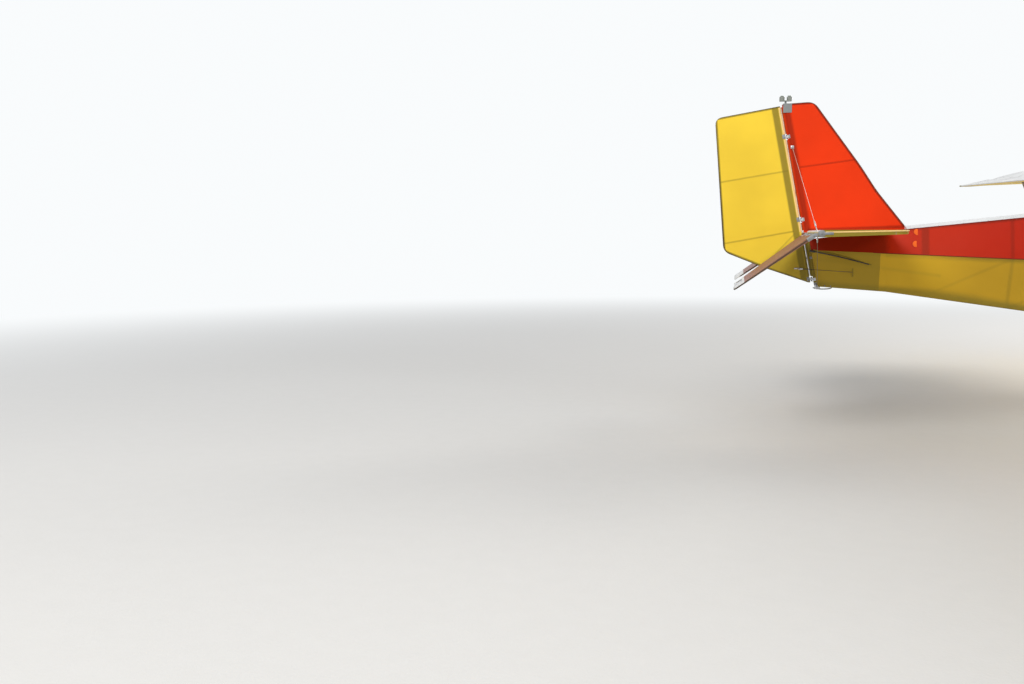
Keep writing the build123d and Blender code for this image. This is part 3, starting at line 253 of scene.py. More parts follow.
def block(centre, size, bevel=0.0, segments=2, turn=(0, 0, 0)):
    """A rounded block, turned about its centre."""
    start_clean()
    bpy.ops.mesh.primitive_cube_add(size=1, location=centre, rotation=turn, scale=size)
    piece = settle(bpy.context.object)
    if bevel:
        rounded(piece, bevel, segments)
    return piece


def bent_tube(points, diameter, closed=False, sides=3, smooth_path=False):
    """A round tube along a line of points; a smooth path uses them as control points."""
    start_clean()
    curve = bpy.data.curves.new("bent_tube", "CURVE")
    curve.dimensions = "3D"
    curve.bevel_depth = diameter / 2
    curve.bevel_resolution = sides
    curve.use_fill_caps = not closed
    spline = curve.splines.new("NURBS" if smooth_path else "POLY")
    spline.points.add(len(points) - 1)
    for target, point in zip(spline.points, points):
        target.co = (*point, 1)
    spline.use_cyclic_u = closed
    if smooth_path:
        spline.order_u = 3
        spline.use_endpoint_u = not closed
        spline.resolution_u = 6
    piece = bpy.data.objects.new("bent_tube", curve)
    bpy.context.scene.collection.objects.link(piece)
    take(piece)
    bpy.ops.object.convert(target="MESH")
    return recalculate(bpy.context.object)


def rounded_corner(before, corner, after, radius, steps=6):
    """Points of the short curve that replaces one corner of a line."""
    corner = Vector(corner)
    back, on = Vector(before) - corner, Vector(after) - corner
    reach = min(radius, back.length / 2.2, on.length / 2.2)
    first, last = corner + back.normalized() * reach, corner + on.normalized() * reach
    shares = [step / steps for step in range(steps + 1)]
    return [first.lerp(corner, share).lerp(corner.lerp(last, share), share) for share in shares]


def round_corners(points, radius):
    """A closed line of points with each corner rounded."""
    line = []
    for i, corner in enumerate(points):
        line += rounded_corner(points[i - 1], corner, points[(i + 1) % len(points)], radius)
    return line


def open_corners(points, radius, steps=6):
    """An open line with its inner corners rounded."""
    line = [Vector(points[0])]
    for before, corner, after in zip(points, points[1:], points[2:]):
        line += rounded_corner(before, corner, after, radius, steps)
    return line + [Vector(points[-1])]


# %% [markdown]
# The hexagon-headed bolt is modelled once: a washer, a head with rounded corners and a raised middle, and
# the end of its stud.

# %% The bolt
def make_bolt():
    washer = rod((0, 0, 0), (0, 0, 0.0012), 0.016, sides=20)
    start_clean()
    bpy.ops.mesh.primitive_cylinder_add(vertices=6, radius=0.0062, depth=0.0054, location=(0, 0, 0.0039))
    head = rounded(settle(bpy.context.object), 0.0007)
    edit_faces(head, lambda centre, normal: normal.z > 0.9)
    bpy.ops.mesh.inset(thickness=0.0014)
    bpy.ops.transform.translate(value=(0, 0, 0.0008))
    leave_edit()
    stud = rod((0, 0, 0.006), (0, 0, 0.0095), 0.006, sides=12, rim=0.0006)
    return join([washer, head, stud], "bolt_model")


bolt_model = make_bolt()


def bolt(at, way, size=1.0):
    """A copy of the bolt at a place, with its head out along a direction."""
    return copy_at(bolt_model, along(way, at) @ Matrix.Scale(size, 4))


def bolts(places, size):
    """Bolts at (place, direction) pairs, as a list of pieces to join."""
    return [bolt(at, way, size) for at, way in places]


def bolt_pair(centre, way, half, size):
    """The heads at both ends of a bolt along a direction."""
    return [bolt(centre + way * half, way, size), bolt(centre - way * half, -way, size)]


print("bolt triangles", sum(len(p.vertices) - 2 for p in bolt_model.data.polygons))

# %% [markdown]
# ## Shader maths as Python
#
# A material here is a recipe. `Signal` wraps a node's output and overloads Python's operators, so
# `1 - mask * 0.5` adds its Math nodes by itself. `Recipe.node` adds any other node: its settings are set
# first, then its sockets are fed with numbers, colours or signals. Patterns read Object coordinates, which
# are metres in the aircraft's own frame, so a tube's shadow can be painted exactly where the tube runs.

# %% Signals and recipes
class Signal:
    """A node's output that Python's operators turn into Math nodes."""

    def __init__(self, recipe, socket):
        self.recipe = recipe
        self.socket = socket

    def maths(self, operation, *others):
        sockets = dict(enumerate((self, *others)))
        return self.recipe.node("ShaderNodeMath", {"operation": operation}, sockets)

    def __add__(self, other):
        return self.maths("ADD", other)

    __radd__ = __add__

    def __mul__(self, other):
        return self.maths("MULTIPLY", other)

    __rmul__ = __mul__

    def __sub__(self, other):
        return self.maths("SUBTRACT", other)

    def __rsub__(self, other):
        return self.recipe.node("ShaderNodeMath", {"operation": "SUBTRACT"}, {0: other, 1: self})

    def __abs__(self):
        return self.maths("ABSOLUTE")

    def __pow__(self, other):
        return self.maths("POWER", other)

    def cycle(self, period):
        """Distance to the nearest whole multiple of a period."""
        return abs(self - self.maths("SNAP", period) - period / 2) * -1 + period / 2

    def rise(self, low, high):
        """0 below low, 1 above high, smooth between; a high under the low falls instead."""
        settings = {"interpolation_type": "SMOOTHSTEP", "clamp": True}
        start, end = (0, 1) if low < high else (1, 0)
        sockets = {0: self, 1: min(low, high), 2: max(low, high), 3: start, 4: end}
        return self.recipe.node("ShaderNodeMapRange", settings, sockets)


class Recipe:
    """One material, built by expressions."""

    def __init__(self, name):
        self.material = bpy.data.materials.new(name)
        self.material.use_nodes = True
        self.tree = self.material.node_tree
        self.tree.nodes.clear()
        self.place = self.node("ShaderNodeTexCoord", output="Object")
        self.x, self.y, self.z = self.parts(self.place)

    def node(self, kind, settings=None, sockets=None, output=0):
        new = self.tree.nodes.new(kind)
        for key, value in (settings or {}).items():
            setattr(new, key, value)
        for key, value in (sockets or {}).items():
            self.feed(new.inputs[key], value)
        return Signal(self, new.outputs[output])

    def feed(self, socket, value):
        """Link a signal, or set a number or a colour on the socket itself."""
        if isinstance(value, Signal):
            self.tree.links.new(value.socket, socket)
        elif isinstance(value, (tuple, list)):
            socket.default_value = (*value, 1) if len(value) == 3 and socket.type == "RGBA" else value
        else:
            socket.default_value = value

    def parts(self, vector):
        """A vector's three numbers, as signals."""
        split = self.node("ShaderNodeSeparateXYZ", {}, {0: vector})
        return [Signal(self, output) for output in split.socket.node.outputs]

    def mix(self, factor, first, second):
        sockets = {0: factor, 6: first, 7: second}
        return self.node("ShaderNodeMix", {"data_type": "RGBA"}, sockets, output=2)

    def stretched(self, scale):
        """The Object coordinates, stretched along each axis."""
        return self.node("ShaderNodeMapping", {}, {"Vector": self.place, "Scale": scale})

    def noise(self, scale, detail, vector=None):
        sockets = {"Vector": vector or self.place, "Scale": scale, "Detail": detail, "Roughness": 0.55}
        return self.node("ShaderNodeTexNoise", {}, sockets)

    def waves(self, axis, period):
        """Parallel ridges across one axis, from 0 to 1."""
        settings = {"wave_type": "BANDS", "bands_direction": axis}
        # A Blender wave repeats every pi / 10 units at a scale of 1
        sockets = {"Vector": self.place, "Scale": math.pi / 10 / period}
        return self.node("ShaderNodeTexWave", settings, sockets)

    def upward(self):
        """How far the surface faces up: the Z part of its own normal."""
        return self.parts(self.node("ShaderNodeTexCoord", output="Normal"))[2]

    def stripe(self, start, end, half_width, soft):
        """A soft-edged line between two points of the side view (x, z)."""
        (x1, z1), (x2, z2) = start, end
        length = math.hypot(x2 - x1, z2 - z1)
        ux, uz = (x2 - x1) / length, (z2 - z1) / length
        off = abs((self.x - x1) * uz - (self.z - z1) * ux)
        run = (self.x - x1) * ux + (self.z - z1) * uz
        inside = abs(run - length / 2)
        core = off.rise(half_width + soft, half_width - soft / 2)
        return core * inside.rise(length / 2 + soft, length / 2)

    def bump(self, *layers):
        """Bump nodes in a row, each from a height signal and its depth in metres."""
        normal = None
        for height, depth in layers:
            sockets = {"Height": height, "Distance": depth, "Strength": 1.0}
            if normal:
                sockets["Normal"] = normal
            normal = self.node("ShaderNodeBump", {}, sockets)
        return normal

    def surface(self, colour, roughness, metallic=0.0, normal=None, **fixed):
        """End the recipe in a Principled shader; fixed values are set on its own sockets."""
        sockets = {"Base Color": colour, "Roughness": roughness, "Metallic": metallic}
        if normal:
            sockets["Normal"] = normal
        for key, value in fixed.items():
            sockets[key.replace("_", " ").title().replace("Ior", "IOR")] = value
        shader = self.node("ShaderNodeBsdfPrincipled", {}, sockets)
        output = self.tree.nodes.new("ShaderNodeOutputMaterial")
        self.tree.links.new(shader.socket, output.inputs["Surface"])
        return self.material


def shade(colour, factor):
    """A colour made darker or lighter by one factor."""
    return tuple(min(1.0, part * factor) for part in colour)

# %% [markdown]
# ## Camera, floor and light
#
# The camera stands where the photographer stood: at a grown person's eye height, seven metres from the
# tail, level with the edge-on tailplane, looking slightly down. The lens is the one whose horizon and
# scale fit the photograph. The light is a plain studio: a white world and large soft lamps, with a weaker
# lamp from behind so that the edges of the covers show. The floor is pale, and what the camera sees past
# it is white without adding light to the aircraft.

# %% The camera
IMAGE_WIDTH, IMAGE_HEIGHT = 1024, 684
FOCAL_PIXELS = 1000
EYE = Vector((-2.6265, -7.3945, 1.37))
HEADING = Vector((-0.220, 0.9755, 0.0)).normalized()
HORIZON_ROW = 234


def make_camera():
    data = bpy.data.cameras.new("camera")
    data.sensor_fit = "HORIZONTAL"
    data.sensor_width = 36.0
    data.lens = data.sensor_width * FOCAL_PIXELS / IMAGE_WIDTH
    data.clip_end = 400
    camera = bpy.data.objects.new("camera", data)
    bpy.context.scene.collection.objects.link(camera)
    dip = math.atan((IMAGE_HEIGHT / 2 - HORIZON_ROW) / FOCAL_PIXELS)
    gaze = HEADING * math.cos(dip) - upwards(math.sin(dip))
    camera.location = EYE
    camera.rotation_euler = gaze.to_track_quat("-Z", "Y").to_euler()
    bpy.context.scene.camera = camera
    return camera


camera = make_camera()
print("lens", round(camera.data.lens, 2), "mm")

# %% The floor and the backdrop colour
FLOOR_SIZE = 240


def fade_to_white(recipe):
    """Far from the aircraft the camera sees the floor turn into the white backdrop."""
    tree = recipe.tree
    output = next(node for node in tree.nodes if node.type == "OUTPUT_MATERIAL")
    lit = output.inputs["Surface"].links[0].from_socket
    far = (recipe.x * recipe.x + recipe.y * recipe.y).rise(14, 260)
    seen = recipe.node("ShaderNodeLightPath", output="Is Camera Ray")
    glow = recipe.node("ShaderNodeEmission", {}, {"Color": (0.95, 0.97, 0.98), "Strength": 1.0})
    mixed = recipe.node("ShaderNodeMixShader", {}, {0: far * seen})
    tree.links.new(lit, mixed.socket.node.inputs[1])
    tree.links.new(glow.socket, mixed.socket.node.inputs[2])
    tree.links.new(mixed.socket, output.inputs["Surface"])


def make_floor():
    recipe = Recipe("floor_pale")
    grain = recipe.noise(9, 4)
    cloud = recipe.noise(0.35, 2)
    tone = recipe.mix(grain * 0.3 + cloud * 0.3, (0.70, 0.69, 0.67), (0.80, 0.79, 0.775))
    normal = recipe.bump((recipe.noise(60, 3), 0.0015))
    material = recipe.surface(tone, 0.85, normal=normal)
    fade_to_white(recipe)
    start_clean()
    bpy.ops.mesh.primitive_grid_add(x_subdivisions=4, y_subdivisions=4, size=FLOOR_SIZE)
    floor = settle(bpy.context.object, "floor")
    floor.data.materials.append(material)


def make_world():
    """White where the camera, a mirror or glass sees it, and dimmer as light on the aircraft."""
    world = bpy.data.worlds.new("studio")
    world.use_nodes = True
    tree = world.node_tree
    tree.nodes.clear()
    ray = tree.nodes.new("ShaderNodeLightPath")
    seen = ray.outputs["Is Camera Ray"]
    for kind in ("Is Glossy Ray", "Is Transmission Ray"):
        either = tree.nodes.new("ShaderNodeMath")
        either.operation = "MAXIMUM"
        tree.links.new(seen, either.inputs[0])
        tree.links.new(ray.outputs[kind], either.inputs[1])
        seen = either.outputs[0]
    mixed = tree.nodes.new("ShaderNodeMixShader")
    tree.links.new(seen, mixed.inputs[0])
    for index, colour, strength in ((1, (0.93, 0.96, 1.0, 1), 0.56), (2, (0.95, 0.97, 0.98, 1), 1.0)):
        glow = tree.nodes.new("ShaderNodeBackground")
        glow.inputs["Color"].default_value = colour
        glow.inputs["Strength"].default_value = strength
        tree.links.new(glow.outputs[0], mixed.inputs[index])
    output = tree.nodes.new("ShaderNodeOutputWorld")
    tree.links.new(mixed.outputs[0], output.inputs["Surface"])
    bpy.context.scene.world = world


def add_lamp(name, at, aim, size, power, colour=(1, 1, 1)):
    data = bpy.data.lights.new(name, "AREA")
    data.shape = "DISK"
    data.size = size
    data.energy = power
    data.color = colour
    lamp = bpy.data.objects.new(name, data)
    bpy.context.scene.collection.objects.link(lamp)
    lamp.location = at
    lamp.rotation_euler = (Vector(aim) - Vector(at)).to_track_quat("-Z", "Y").to_euler()


make_floor()
make_world()
add_lamp("key", (-7.5, -10.5, 8.5), (-1.0, 0, 1.2), 5.0, 780, (1, 0.97, 0.92))
add_lamp("fill", (8.0, -8.0, 6.0), (0.5, 0, 1.0), 6.0, 360)
add_lamp("back", (6.5, 9.0, 8.0), (-1.0, 0, 1.2), 5.0, 650, (1, 0.96, 0.90))
bpy.context.scene.view_settings.view_transform = "Standard"

# %% [markdown]
# ## Sailcloth
#
# The covers are sewn from woven polyester. Sunlight passes through it, so each tube behind it shows as a
# soft darker band, and the cloth is paler where nothing is behind it; the recipes paint both into the
# colour.
# One starts from a colour, paints a shadow band along each of a list of tube lines, fades it a little in
# clouds, and adds three depths of relief: thread, small puckers and long slack waves. The lines are real
# places of real tubes, in metres.

# %% The colours
YELLOW = (0.97, 0.665, 0.050)
# Yellow cloth darkened halfway toward its look in shade: partly its own colour, partly painted shade.
OCHRE_IN_SHADE = (0.54, 0.325, 0.022)
FIN_ORANGE = (0.87, 0.042, 0.002)
# Red cloth darker than its own colour, as in shade: painted shade.
RED_IN_SHADE = (0.50, 0.016, 0.001)
WHITE = (0.82, 0.83, 0.835)
# The next two are painted shadow on the yellow cloth and on the red cloth.
OLIVE_SHADOW = (0.20, 0.155, 0.022)
DEEP_RED_SHADOW = (0.17, 0.010, 0.001)
# A white cloth's colour in the red fin's coloured shadow: painted shade.
DUSKY_FIN_SHADOW = (0.30, 0.125, 0.095)


# %% The sailcloth recipe
def cloth_relief(recipe, thread_axes, slack=0.0016):
    """Thread, puckers and slack, as one normal."""
    threads = recipe.waves(thread_axes[0], 0.0014) + recipe.waves(thread_axes[1], 0.0014)
    puckers = recipe.noise(26, 2)
    waves = recipe.noise(1.0, 2, vector=recipe.stretched((1.3, 2.2, 3.4)))
    return recipe.bump((waves, slack * 6), (puckers, slack * 0.5), (threads, 0.00003))


def cloth_tone(recipe, colour, shadow=None, lines=()):
    """The cloth's colour with its fading and the painted shadows of the tubes behind it."""
    fading = recipe.noise(1.7, 3).rise(0.25, 0.75)
    tone = recipe.mix(fading, shade(colour, 0.90), shade(colour, 1.05))
    for start, end, half_width, soft, strength in lines:
        tone = recipe.mix(recipe.stripe(start, end, half_width, soft) * strength, tone, shadow)
    return tone


def cloth_surface(recipe, tone, normal, spread=0.14, least=0.38, patches=5):
    """End a cloth recipe: dull woven polyester whose roughness varies in patches."""
    rough = recipe.noise(patches, 3) * spread + least
    return recipe.surface(tone, rough, normal=normal, sheen_weight=0.05, specular_ior_level=0.12)


def sailcloth(name, colour, thread_axes="XZ", shadow=None, lines=()):
    """Cloth of one colour, with painted shadow along the lines of any tubes behind it."""
    recipe = Recipe(name)
    tone = cloth_tone(recipe, colour, shadow, lines)
    return cloth_surface(recipe, tone, cloth_relief(recipe, thread_axes))


# %% [markdown]
# The tail's painted tube shadows lie along lines from the hinge axes that the frame states. A point on the
# rudder hinge line is worked out from its height. The line of the tube behind it is a fixed distance aft,
# square to the axis.

# %% Points on the tail
rudder_pin = Vector(joints["rudder_turn"]["pos_m"])
rudder_up = Vector(joints["rudder_turn"]["axis"])
rudder_aft = Vector((-rudder_up.z, 0, rudder_up.x))
elevator_pin = Vector(joints["elevator_turn"]["pos_m"])
POST_AHEAD = 0.028
DROOP = math.radians(35.6)
ELEVATOR_AFT = Vector((-math.cos(DROOP), 0, -math.sin(DROOP)))
ELEVATOR_UP = Vector((-math.sin(DROOP), 0, math.cos(DROOP)))


def hinge_line(z, aft=0.0):
    """The point at height z on the rudder's hinge line, moved aft square to it."""
    start = rudder_pin + rudder_aft * aft
    return start + rudder_up * ((z - start.z) / rudder_up.z)


def side(point):
    """A point's place in the side view."""
    return point.x, point.z


def from_elevator_pin(recipe, way):
    """Distance from the elevator's hinge axis in one direction, as a signal."""
    return (recipe.x - elevator_pin.x) * way.x + (recipe.z - elevator_pin.z) * way.z


rudder_low, rudder_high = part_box("rudder")
tube_shadow = [side(hinge_line(z, 0.0495)) for z in (rudder_low.z + 0.02, rudder_high.z)]
EDGE_LOW, HEEL, EDGE_TOP = (-2.450, 1.137), (-2.727, 1.246), (-2.806, 2.184)
# Painted shadows of the rudder's two ribs, its diagonal and its front tube, seen through the cloth
RUDDER_SHADOW_LINES = [
    ((-2.790, 1.733), (-2.300, 1.812), 0.004, 0.006, 0.42),
    ((-2.740, 1.299), (-2.250, 1.388), 0.004, 0.006, 0.46),
    ((-2.240, 1.372), (-2.405, 1.190), 0.004, 0.006, 0.30),
    (*tube_shadow, 0.020, 0.009, 0.80),
]
# Painted shadow of the edge tube along the rudder's outline
rudder_bottom, rudder_top = side(hinge_line(1.022, 0.012)), side(hinge_line(2.258, 0.012))
for start, end in ((rudder_bottom, EDGE_LOW), (EDGE_LOW, HEEL), (HEEL, EDGE_TOP), (EDGE_TOP, rudder_top)):
    RUDDER_SHADOW_LINES.append((start, end, 0.009, 0.005, 0.80))


def rudder_cover():
    """The rudder's cloth, with the drooping elevator's shadow painted on it below the elevator's line."""
    recipe = Recipe("rudder_sailcloth")
    tone = cloth_tone(recipe, YELLOW, OLIVE_SHADOW, RUDDER_SHADOW_LINES)
    # Painted shadow of the drooping elevator, below its line on the rudder
    lower = from_elevator_pin(recipe, ELEVATOR_UP).rise(0.030, -0.040) * recipe.x.rise(-2.60, -2.36)
    return cloth_surface(recipe, recipe.mix(lower * 0.60, tone, OLIVE_SHADOW), cloth_relief(recipe, "XZ"))


rudder_cloth = rudder_cover()

post_shadow_line = [side(hinge_line(z, -POST_AHEAD)) for z in (1.40, 2.26)]
# Painted shadows of the fin's rib, of the post behind its rear edge and of its bottom tube
FIN_SHADOW_LINES = [
    ((-2.215, 1.836), (-1.860, 1.881), 0.004, 0.007, 0.45),
    (*post_shadow_line, 0.018, 0.016, 0.62),
    ((-2.15, 1.398), (-1.50, 1.420), 0.008, 0.010, 0.55),
]
# Painted shadow of the edge tube along the fin's outline
fin_corners = [(-1.512, 1.424), (-1.704, 1.665), (-1.816, 1.837), (-2.139, 2.281)]
fin_corners.append(side(hinge_line(2.270, -0.002)))
for start, end in zip(fin_corners, fin_corners[1:]):
    FIN_SHADOW_LINES.append((start, end, 0.009, 0.006, 0.80))
fin_cloth = sailcloth("fin_sailcloth", FIN_ORANGE, shadow=DEEP_RED_SHADOW, lines=FIN_SHADOW_LINES)

# %% [markdown]
# The rear fuselage has four longerons with uprights and diagonals between them. Their shadows are painted
# as bands that follow the seam line and the bottom line of the solid covers, as (x, z) stations, and the
# uprights' shadows stand at the frame's bays.

# %% Covers of the fuselage
SEAM_LINE = ((-2.23, 1.261), (-1.63, 1.238), (0.24, 1.165), (1.65, 1.165))
BOTTOM_LINE = ((-2.23, 1.010), (-1.63, 0.973), (0.24, 0.731), (1.25, 0.630), (1.65, 0.655))
TOP_LINE = ((-1.63, 1.389), (0.24, 1.587))
BAYS = (-1.396, -0.88, -0.30, 0.24)


def point_at(line, x):
    """The point at x on a line of (x, z) stations."""
    for (x0, z0), (x1, z1) in zip(line, line[1:]):
        if x <= x1:
            return x, z0 + (z1 - z0) * (x - x0) / (x1 - x0)


# Painted shadows on the lower cover: the elevator's rod, the seam and bottom longerons, the uprights and
# the diagonals
lower_shadow_lines = [((-2.17, 1.205), (-1.30, 1.090), 0.006, 0.016, 0.30)]
seam_shadow_bands = ((0.012, 0.020, 0.55), (0.016, 0.022, 0.60), (0.014, 0.020, 0.5))
for start, end, band in zip(SEAM_LINE, SEAM_LINE[1:], seam_shadow_bands):
    lower_shadow_lines.append((start, end, *band))
for (x0, z0), (x1, z1) in zip(BOTTOM_LINE, BOTTOM_LINE[1:]):
    lower_shadow_lines.append(((x0, z0 + 0.012), (x1, z1 + 0.012), 0.016, 0.020, 0.55))
for rear, front in zip(BAYS, BAYS[1:]):
    lower_shadow_lines.append((point_at(BOTTOM_LINE, front), point_at(SEAM_LINE, front), 0.007, 0.012, 0.30))
    lower_shadow_lines.append((point_at(BOTTOM_LINE, rear), point_at(SEAM_LINE, front), 0.006, 0.012, 0.20))

# Painted shadows on the upper cover; the first upright's is the broad dark band ahead of the tailplane
upper_shadow_lines = [((-1.63, 1.385), (0.24, 1.583), 0.008, 0.010, 0.55)]
for bay, half_width, strength in zip(BAYS, (0.020, 0.008, 0.008, 0.008), (0.80, 0.35, 0.35, 0.35)):
    upper_shadow_lines.append((point_at(SEAM_LINE, bay), point_at(TOP_LINE, bay), half_width, 0.012, strength))


def bottom_line(recipe):
    """Height of the fuselage's bottom edge at a point's x, as a signal."""
    height = recipe.x * 0.0 + BOTTOM_LINE[0][1]
    for (x0, z0), (x1, z1) in zip(BOTTOM_LINE, BOTTOM_LINE[1:]):
        height = height + recipe.x.rise(x0, x1) * (z1 - z0)
    return height


def fuselage_cloth(recipe, tone, slack=0.0016):
    return cloth_surface(recipe, tone, cloth_relief(recipe, "XZ", slack), 0.16, 0.36)


def lower_cover():
    """The yellow cover: painted light paler aft, painted shade over the doubled cloth at the stern and
    along the bottom edge, and grime along the bottom.
    """
    recipe = Recipe("lower_cover_sailcloth")
    tone = cloth_tone(recipe, OCHRE_IN_SHADE, OLIVE_SHADOW, lower_shadow_lines)
    # Painted light: paler aft, as where sunlight comes through the cloth
    tone = recipe.mix(recipe.x.rise(-1.02, -1.44) * 0.38, tone, (0.90, 0.56, 0.030))
    # Painted shade over the doubled cloth at the stern
    tone = recipe.mix(recipe.x.rise(-1.672, -1.678) * 0.58, tone, shade(OLIVE_SHADOW, 1.15))
    # Painted shade along the bottom edge, from the lower longeron
    hem = (recipe.z - bottom_line(recipe)).rise(0.060, 0.010)
    tone = recipe.mix(hem * 0.55, tone, shade(OLIVE_SHADOW, 1.2))
    blotches = recipe.noise(3, 4, vector=recipe.stretched((0.6, 1, 3)))
    grime = blotches.rise(0.45, 0.8) * recipe.z.rise(1.0, 0.72)
    return fuselage_cloth(recipe, recipe.mix(grime * 0.25, tone, (0.16, 0.12, 0.06)))


def upper_cover():
    """The red cover: painted light makes it lighter aft, and painted shade deepens it where the tailplane
    and its doubled cloth shade it.
    """
    recipe = Recipe("upper_cover_sailcloth")
    tone = cloth_tone(recipe, RED_IN_SHADE, DEEP_RED_SHADOW, upper_shadow_lines)
    # Painted light: lighter aft
    tone = recipe.mix(recipe.x.rise(-0.9, -1.4) * 0.35, tone, (0.62, 0.030, 0.002))
    # Painted shade under the tailplane and its doubled cloth
    return fuselage_cloth(recipe, recipe.mix(recipe.x.rise(-1.60, -1.66) * 0.60, tone, DEEP_RED_SHADOW))


def two_colour_panel(name):
    """The doors: red above the seam line and yellow below it, as the covers beside them."""
    recipe = Recipe(name)
    high = cloth_tone(recipe, RED_IN_SHADE)
    low = cloth_tone(recipe, OCHRE_IN_SHADE)
    return fuselage_cloth(recipe, recipe.mix(recipe.z.rise(1.1645, 1.1655), low, high), 0.0008)


# %% [markdown]
# A wing's cloth is held up by battens. Their places repeat along the span, so the recipe folds the span
# into one bay with `cycle` and draws one soft painted shadow band, one sewn tape and two lines of thread
# per bay. The cloth sinks a little between battens, which is real shape in the wing's section and a slow
# wave here.

# %% Covers of the wings and the tailplane
BATTEN_PITCH, TAIL_PITCH = 0.309, 0.365
WING_ROOT = 0.425


def wing_cloth(name, pitch, root, under, turn_over, nose_x=None):
    """White cloth with a tape and a painted shadow band at every batten, and another colour where it faces
    down.
    """
    recipe = Recipe(name)
    off = (abs(recipe.y) - root).cycle(pitch)
    tone = cloth_tone(recipe, WHITE)
    batten_shadow = off.rise(0.016, 0.008)
    tone = recipe.mix(batten_shadow * 0.30, tone, (0.45, 0.46, 0.48))
    tone = recipe.mix(recipe.upward().rise(*turn_over), tone, recipe.mix(batten_shadow * 0.5, under, OLIVE_SHADOW))
    if nose_x is not None:
        tone = recipe.mix(recipe.x.rise(nose_x - 0.002, nose_x) * 0.5, tone, shade(WHITE, 1.08))
    threads = abs(off - 0.0125).rise(0.0016, 0.0006)
    tone = recipe.mix(threads * 0.35, tone, (0.35, 0.35, 0.36))
    sag = off.rise(0.0, pitch / 2)
    grain = recipe.noise(1.3, 2, vector=recipe.stretched((0.7, 2.0, 1.0)))
    tape = off.rise(0.0140, 0.0130)
    normal = recipe.bump((1 - sag, 0.005), (grain, 0.004), (tape, 0.0004), (threads * -1, 0.0003))
    return cloth_surface(recipe, tone, normal, 0.14, 0.36, 4)


wing_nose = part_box("wing_left")[1].x - 0.26
wing_top_cloth = wing_cloth("wing_sailcloth", BATTEN_PITCH, WING_ROOT, YELLOW, (-0.15, -0.45), wing_nose)
# The tailplane's yellow underside is drawn dark olive: painted shade.
tail_top_cloth = wing_cloth("tailplane_sailcloth", TAIL_PITCH, 0.0, (0.34, 0.255, 0.030), (0.55, 0.25))


def elevator_cloth():
    """White cloth painted dusky in the red fin's shadow, with its ribs' painted shadows, and left white
    along its trailing edge.
    """
    recipe = Recipe("elevator_sailcloth")
    rib_shadow = abs(recipe.y).cycle(TAIL_PITCH).rise(0.016, 0.008)
    tone = recipe.mix(rib_shadow * 0.4, cloth_tone(recipe, DUSKY_FIN_SHADOW), shade(DUSKY_FIN_SHADOW, 0.6))
    tone = recipe.mix(from_elevator_pin(recipe, ELEVATOR_AFT).rise(0.498, 0.502), tone, WHITE)
    return cloth_surface(recipe, tone, cloth_relief(recipe, "XY", 0.0010))


# %% [markdown]
# ## Hard finishes
#
# Tubes are drawn aluminium with fine lengthwise scratches. Fittings are plated steel with dull corners.
# The cowl is gelcoat: smooth, glossy, very slightly wavy. Each recipe varies its roughness as well as its
# colour, because that is what a highlight shows first.

# %% Metal, gelcoat, rubber, plastic and glass
def metal(name, colour, roughness, scratch=(60, 60, 4), depth=0.00012, metallic=1.0):
    recipe = Recipe(name)
    lines = recipe.noise(1.0, 4, vector=recipe.stretched(scratch))
    cloud = recipe.noise(14, 3)
    tone = recipe.mix(cloud.rise(0.3, 0.8), shade(colour, 0.82), shade(colour, 1.06))
    tone = recipe.mix(lines.rise(0.58, 0.75) * 0.35, tone, shade(colour, 0.55))
    rough = lines * 0.16 + cloud * 0.12 + (roughness - 0.14)
    return recipe.surface(tone, rough, metallic, recipe.bump((lines, depth)))


def painted(name, colour, roughness):
    """Paint over metal, with a few small chips and some dust."""
    recipe = Recipe(name)
    dust = recipe.noise(6, 4).rise(0.35, 0.8)
    tone = recipe.mix(dust * 0.35, colour, (0.55, 0.52, 0.47))
    chip = recipe.noise(55, 3).rise(0.70, 0.72)
    tone = recipe.mix(chip, tone, (0.30, 0.29, 0.28))
    rough = dust * 0.2 + chip * 0.2 + roughness
    normal = recipe.bump((chip * -1, 0.0003), (recipe.noise(180, 2), 0.00006))
    return recipe.surface(tone, rough, 0.0, normal)


def gelcoat(name, colour):
    recipe = Recipe(name)
    wave = recipe.noise(7, 2)
    speck = recipe.noise(240, 2)
    grime = recipe.noise(4, 4, vector=recipe.stretched((0.5, 1, 2))).rise(0.5, 0.85)
    tone = recipe.mix(wave * 0.5, shade(colour, 0.95), shade(colour, 1.04))
    tone = recipe.mix(grime * 0.20, tone, shade(colour, 0.5))
    normal = recipe.bump((wave, 0.0012), (speck, 0.00003))
    return recipe.surface(tone, grime * 0.2 + 0.16, 0.0, normal, coat_weight=0.6, coat_roughness=0.08)


def plastic(name, colour, roughness, grain=420):
    recipe = Recipe(name)
    sockets = {"Vector": recipe.place, "Scale": grain}
    cells = recipe.node("ShaderNodeTexVoronoi", {"feature": "F1"}, sockets)
    dust = recipe.noise(8, 4).rise(0.4, 0.85)
    tone = recipe.mix(dust * 0.22, colour, (0.36, 0.34, 0.31))
    return recipe.surface(tone, dust * 0.15 + roughness, 0.0, recipe.bump((cells, 0.00008)))


def rubber():
    recipe = Recipe("tyre_rubber_finish")
    dust = recipe.noise(9, 5).rise(0.38, 0.75)
    fine = recipe.noise(160, 3)
    tone = recipe.mix(dust * 0.55, (0.028, 0.028, 0.029), (0.17, 0.155, 0.13))
    return recipe.surface(tone, dust * 0.12 + 0.68, 0.0, recipe.bump((fine, 0.0003)))


def clear_sheet():
    """Thin polycarbonate, with faint wiping marks."""
    recipe = Recipe("glazing_finish")
    wipes = recipe.noise(3, 4, vector=recipe.stretched((1, 1, 6)))
    rough = wipes.rise(0.5, 0.9) * 0.05 + 0.03
    relief = recipe.bump((wipes, 0.0004))
    return recipe.surface((0.90, 0.94, 0.95), rough, 0.0, relief, transmission_weight=0.94, ior=1.45)


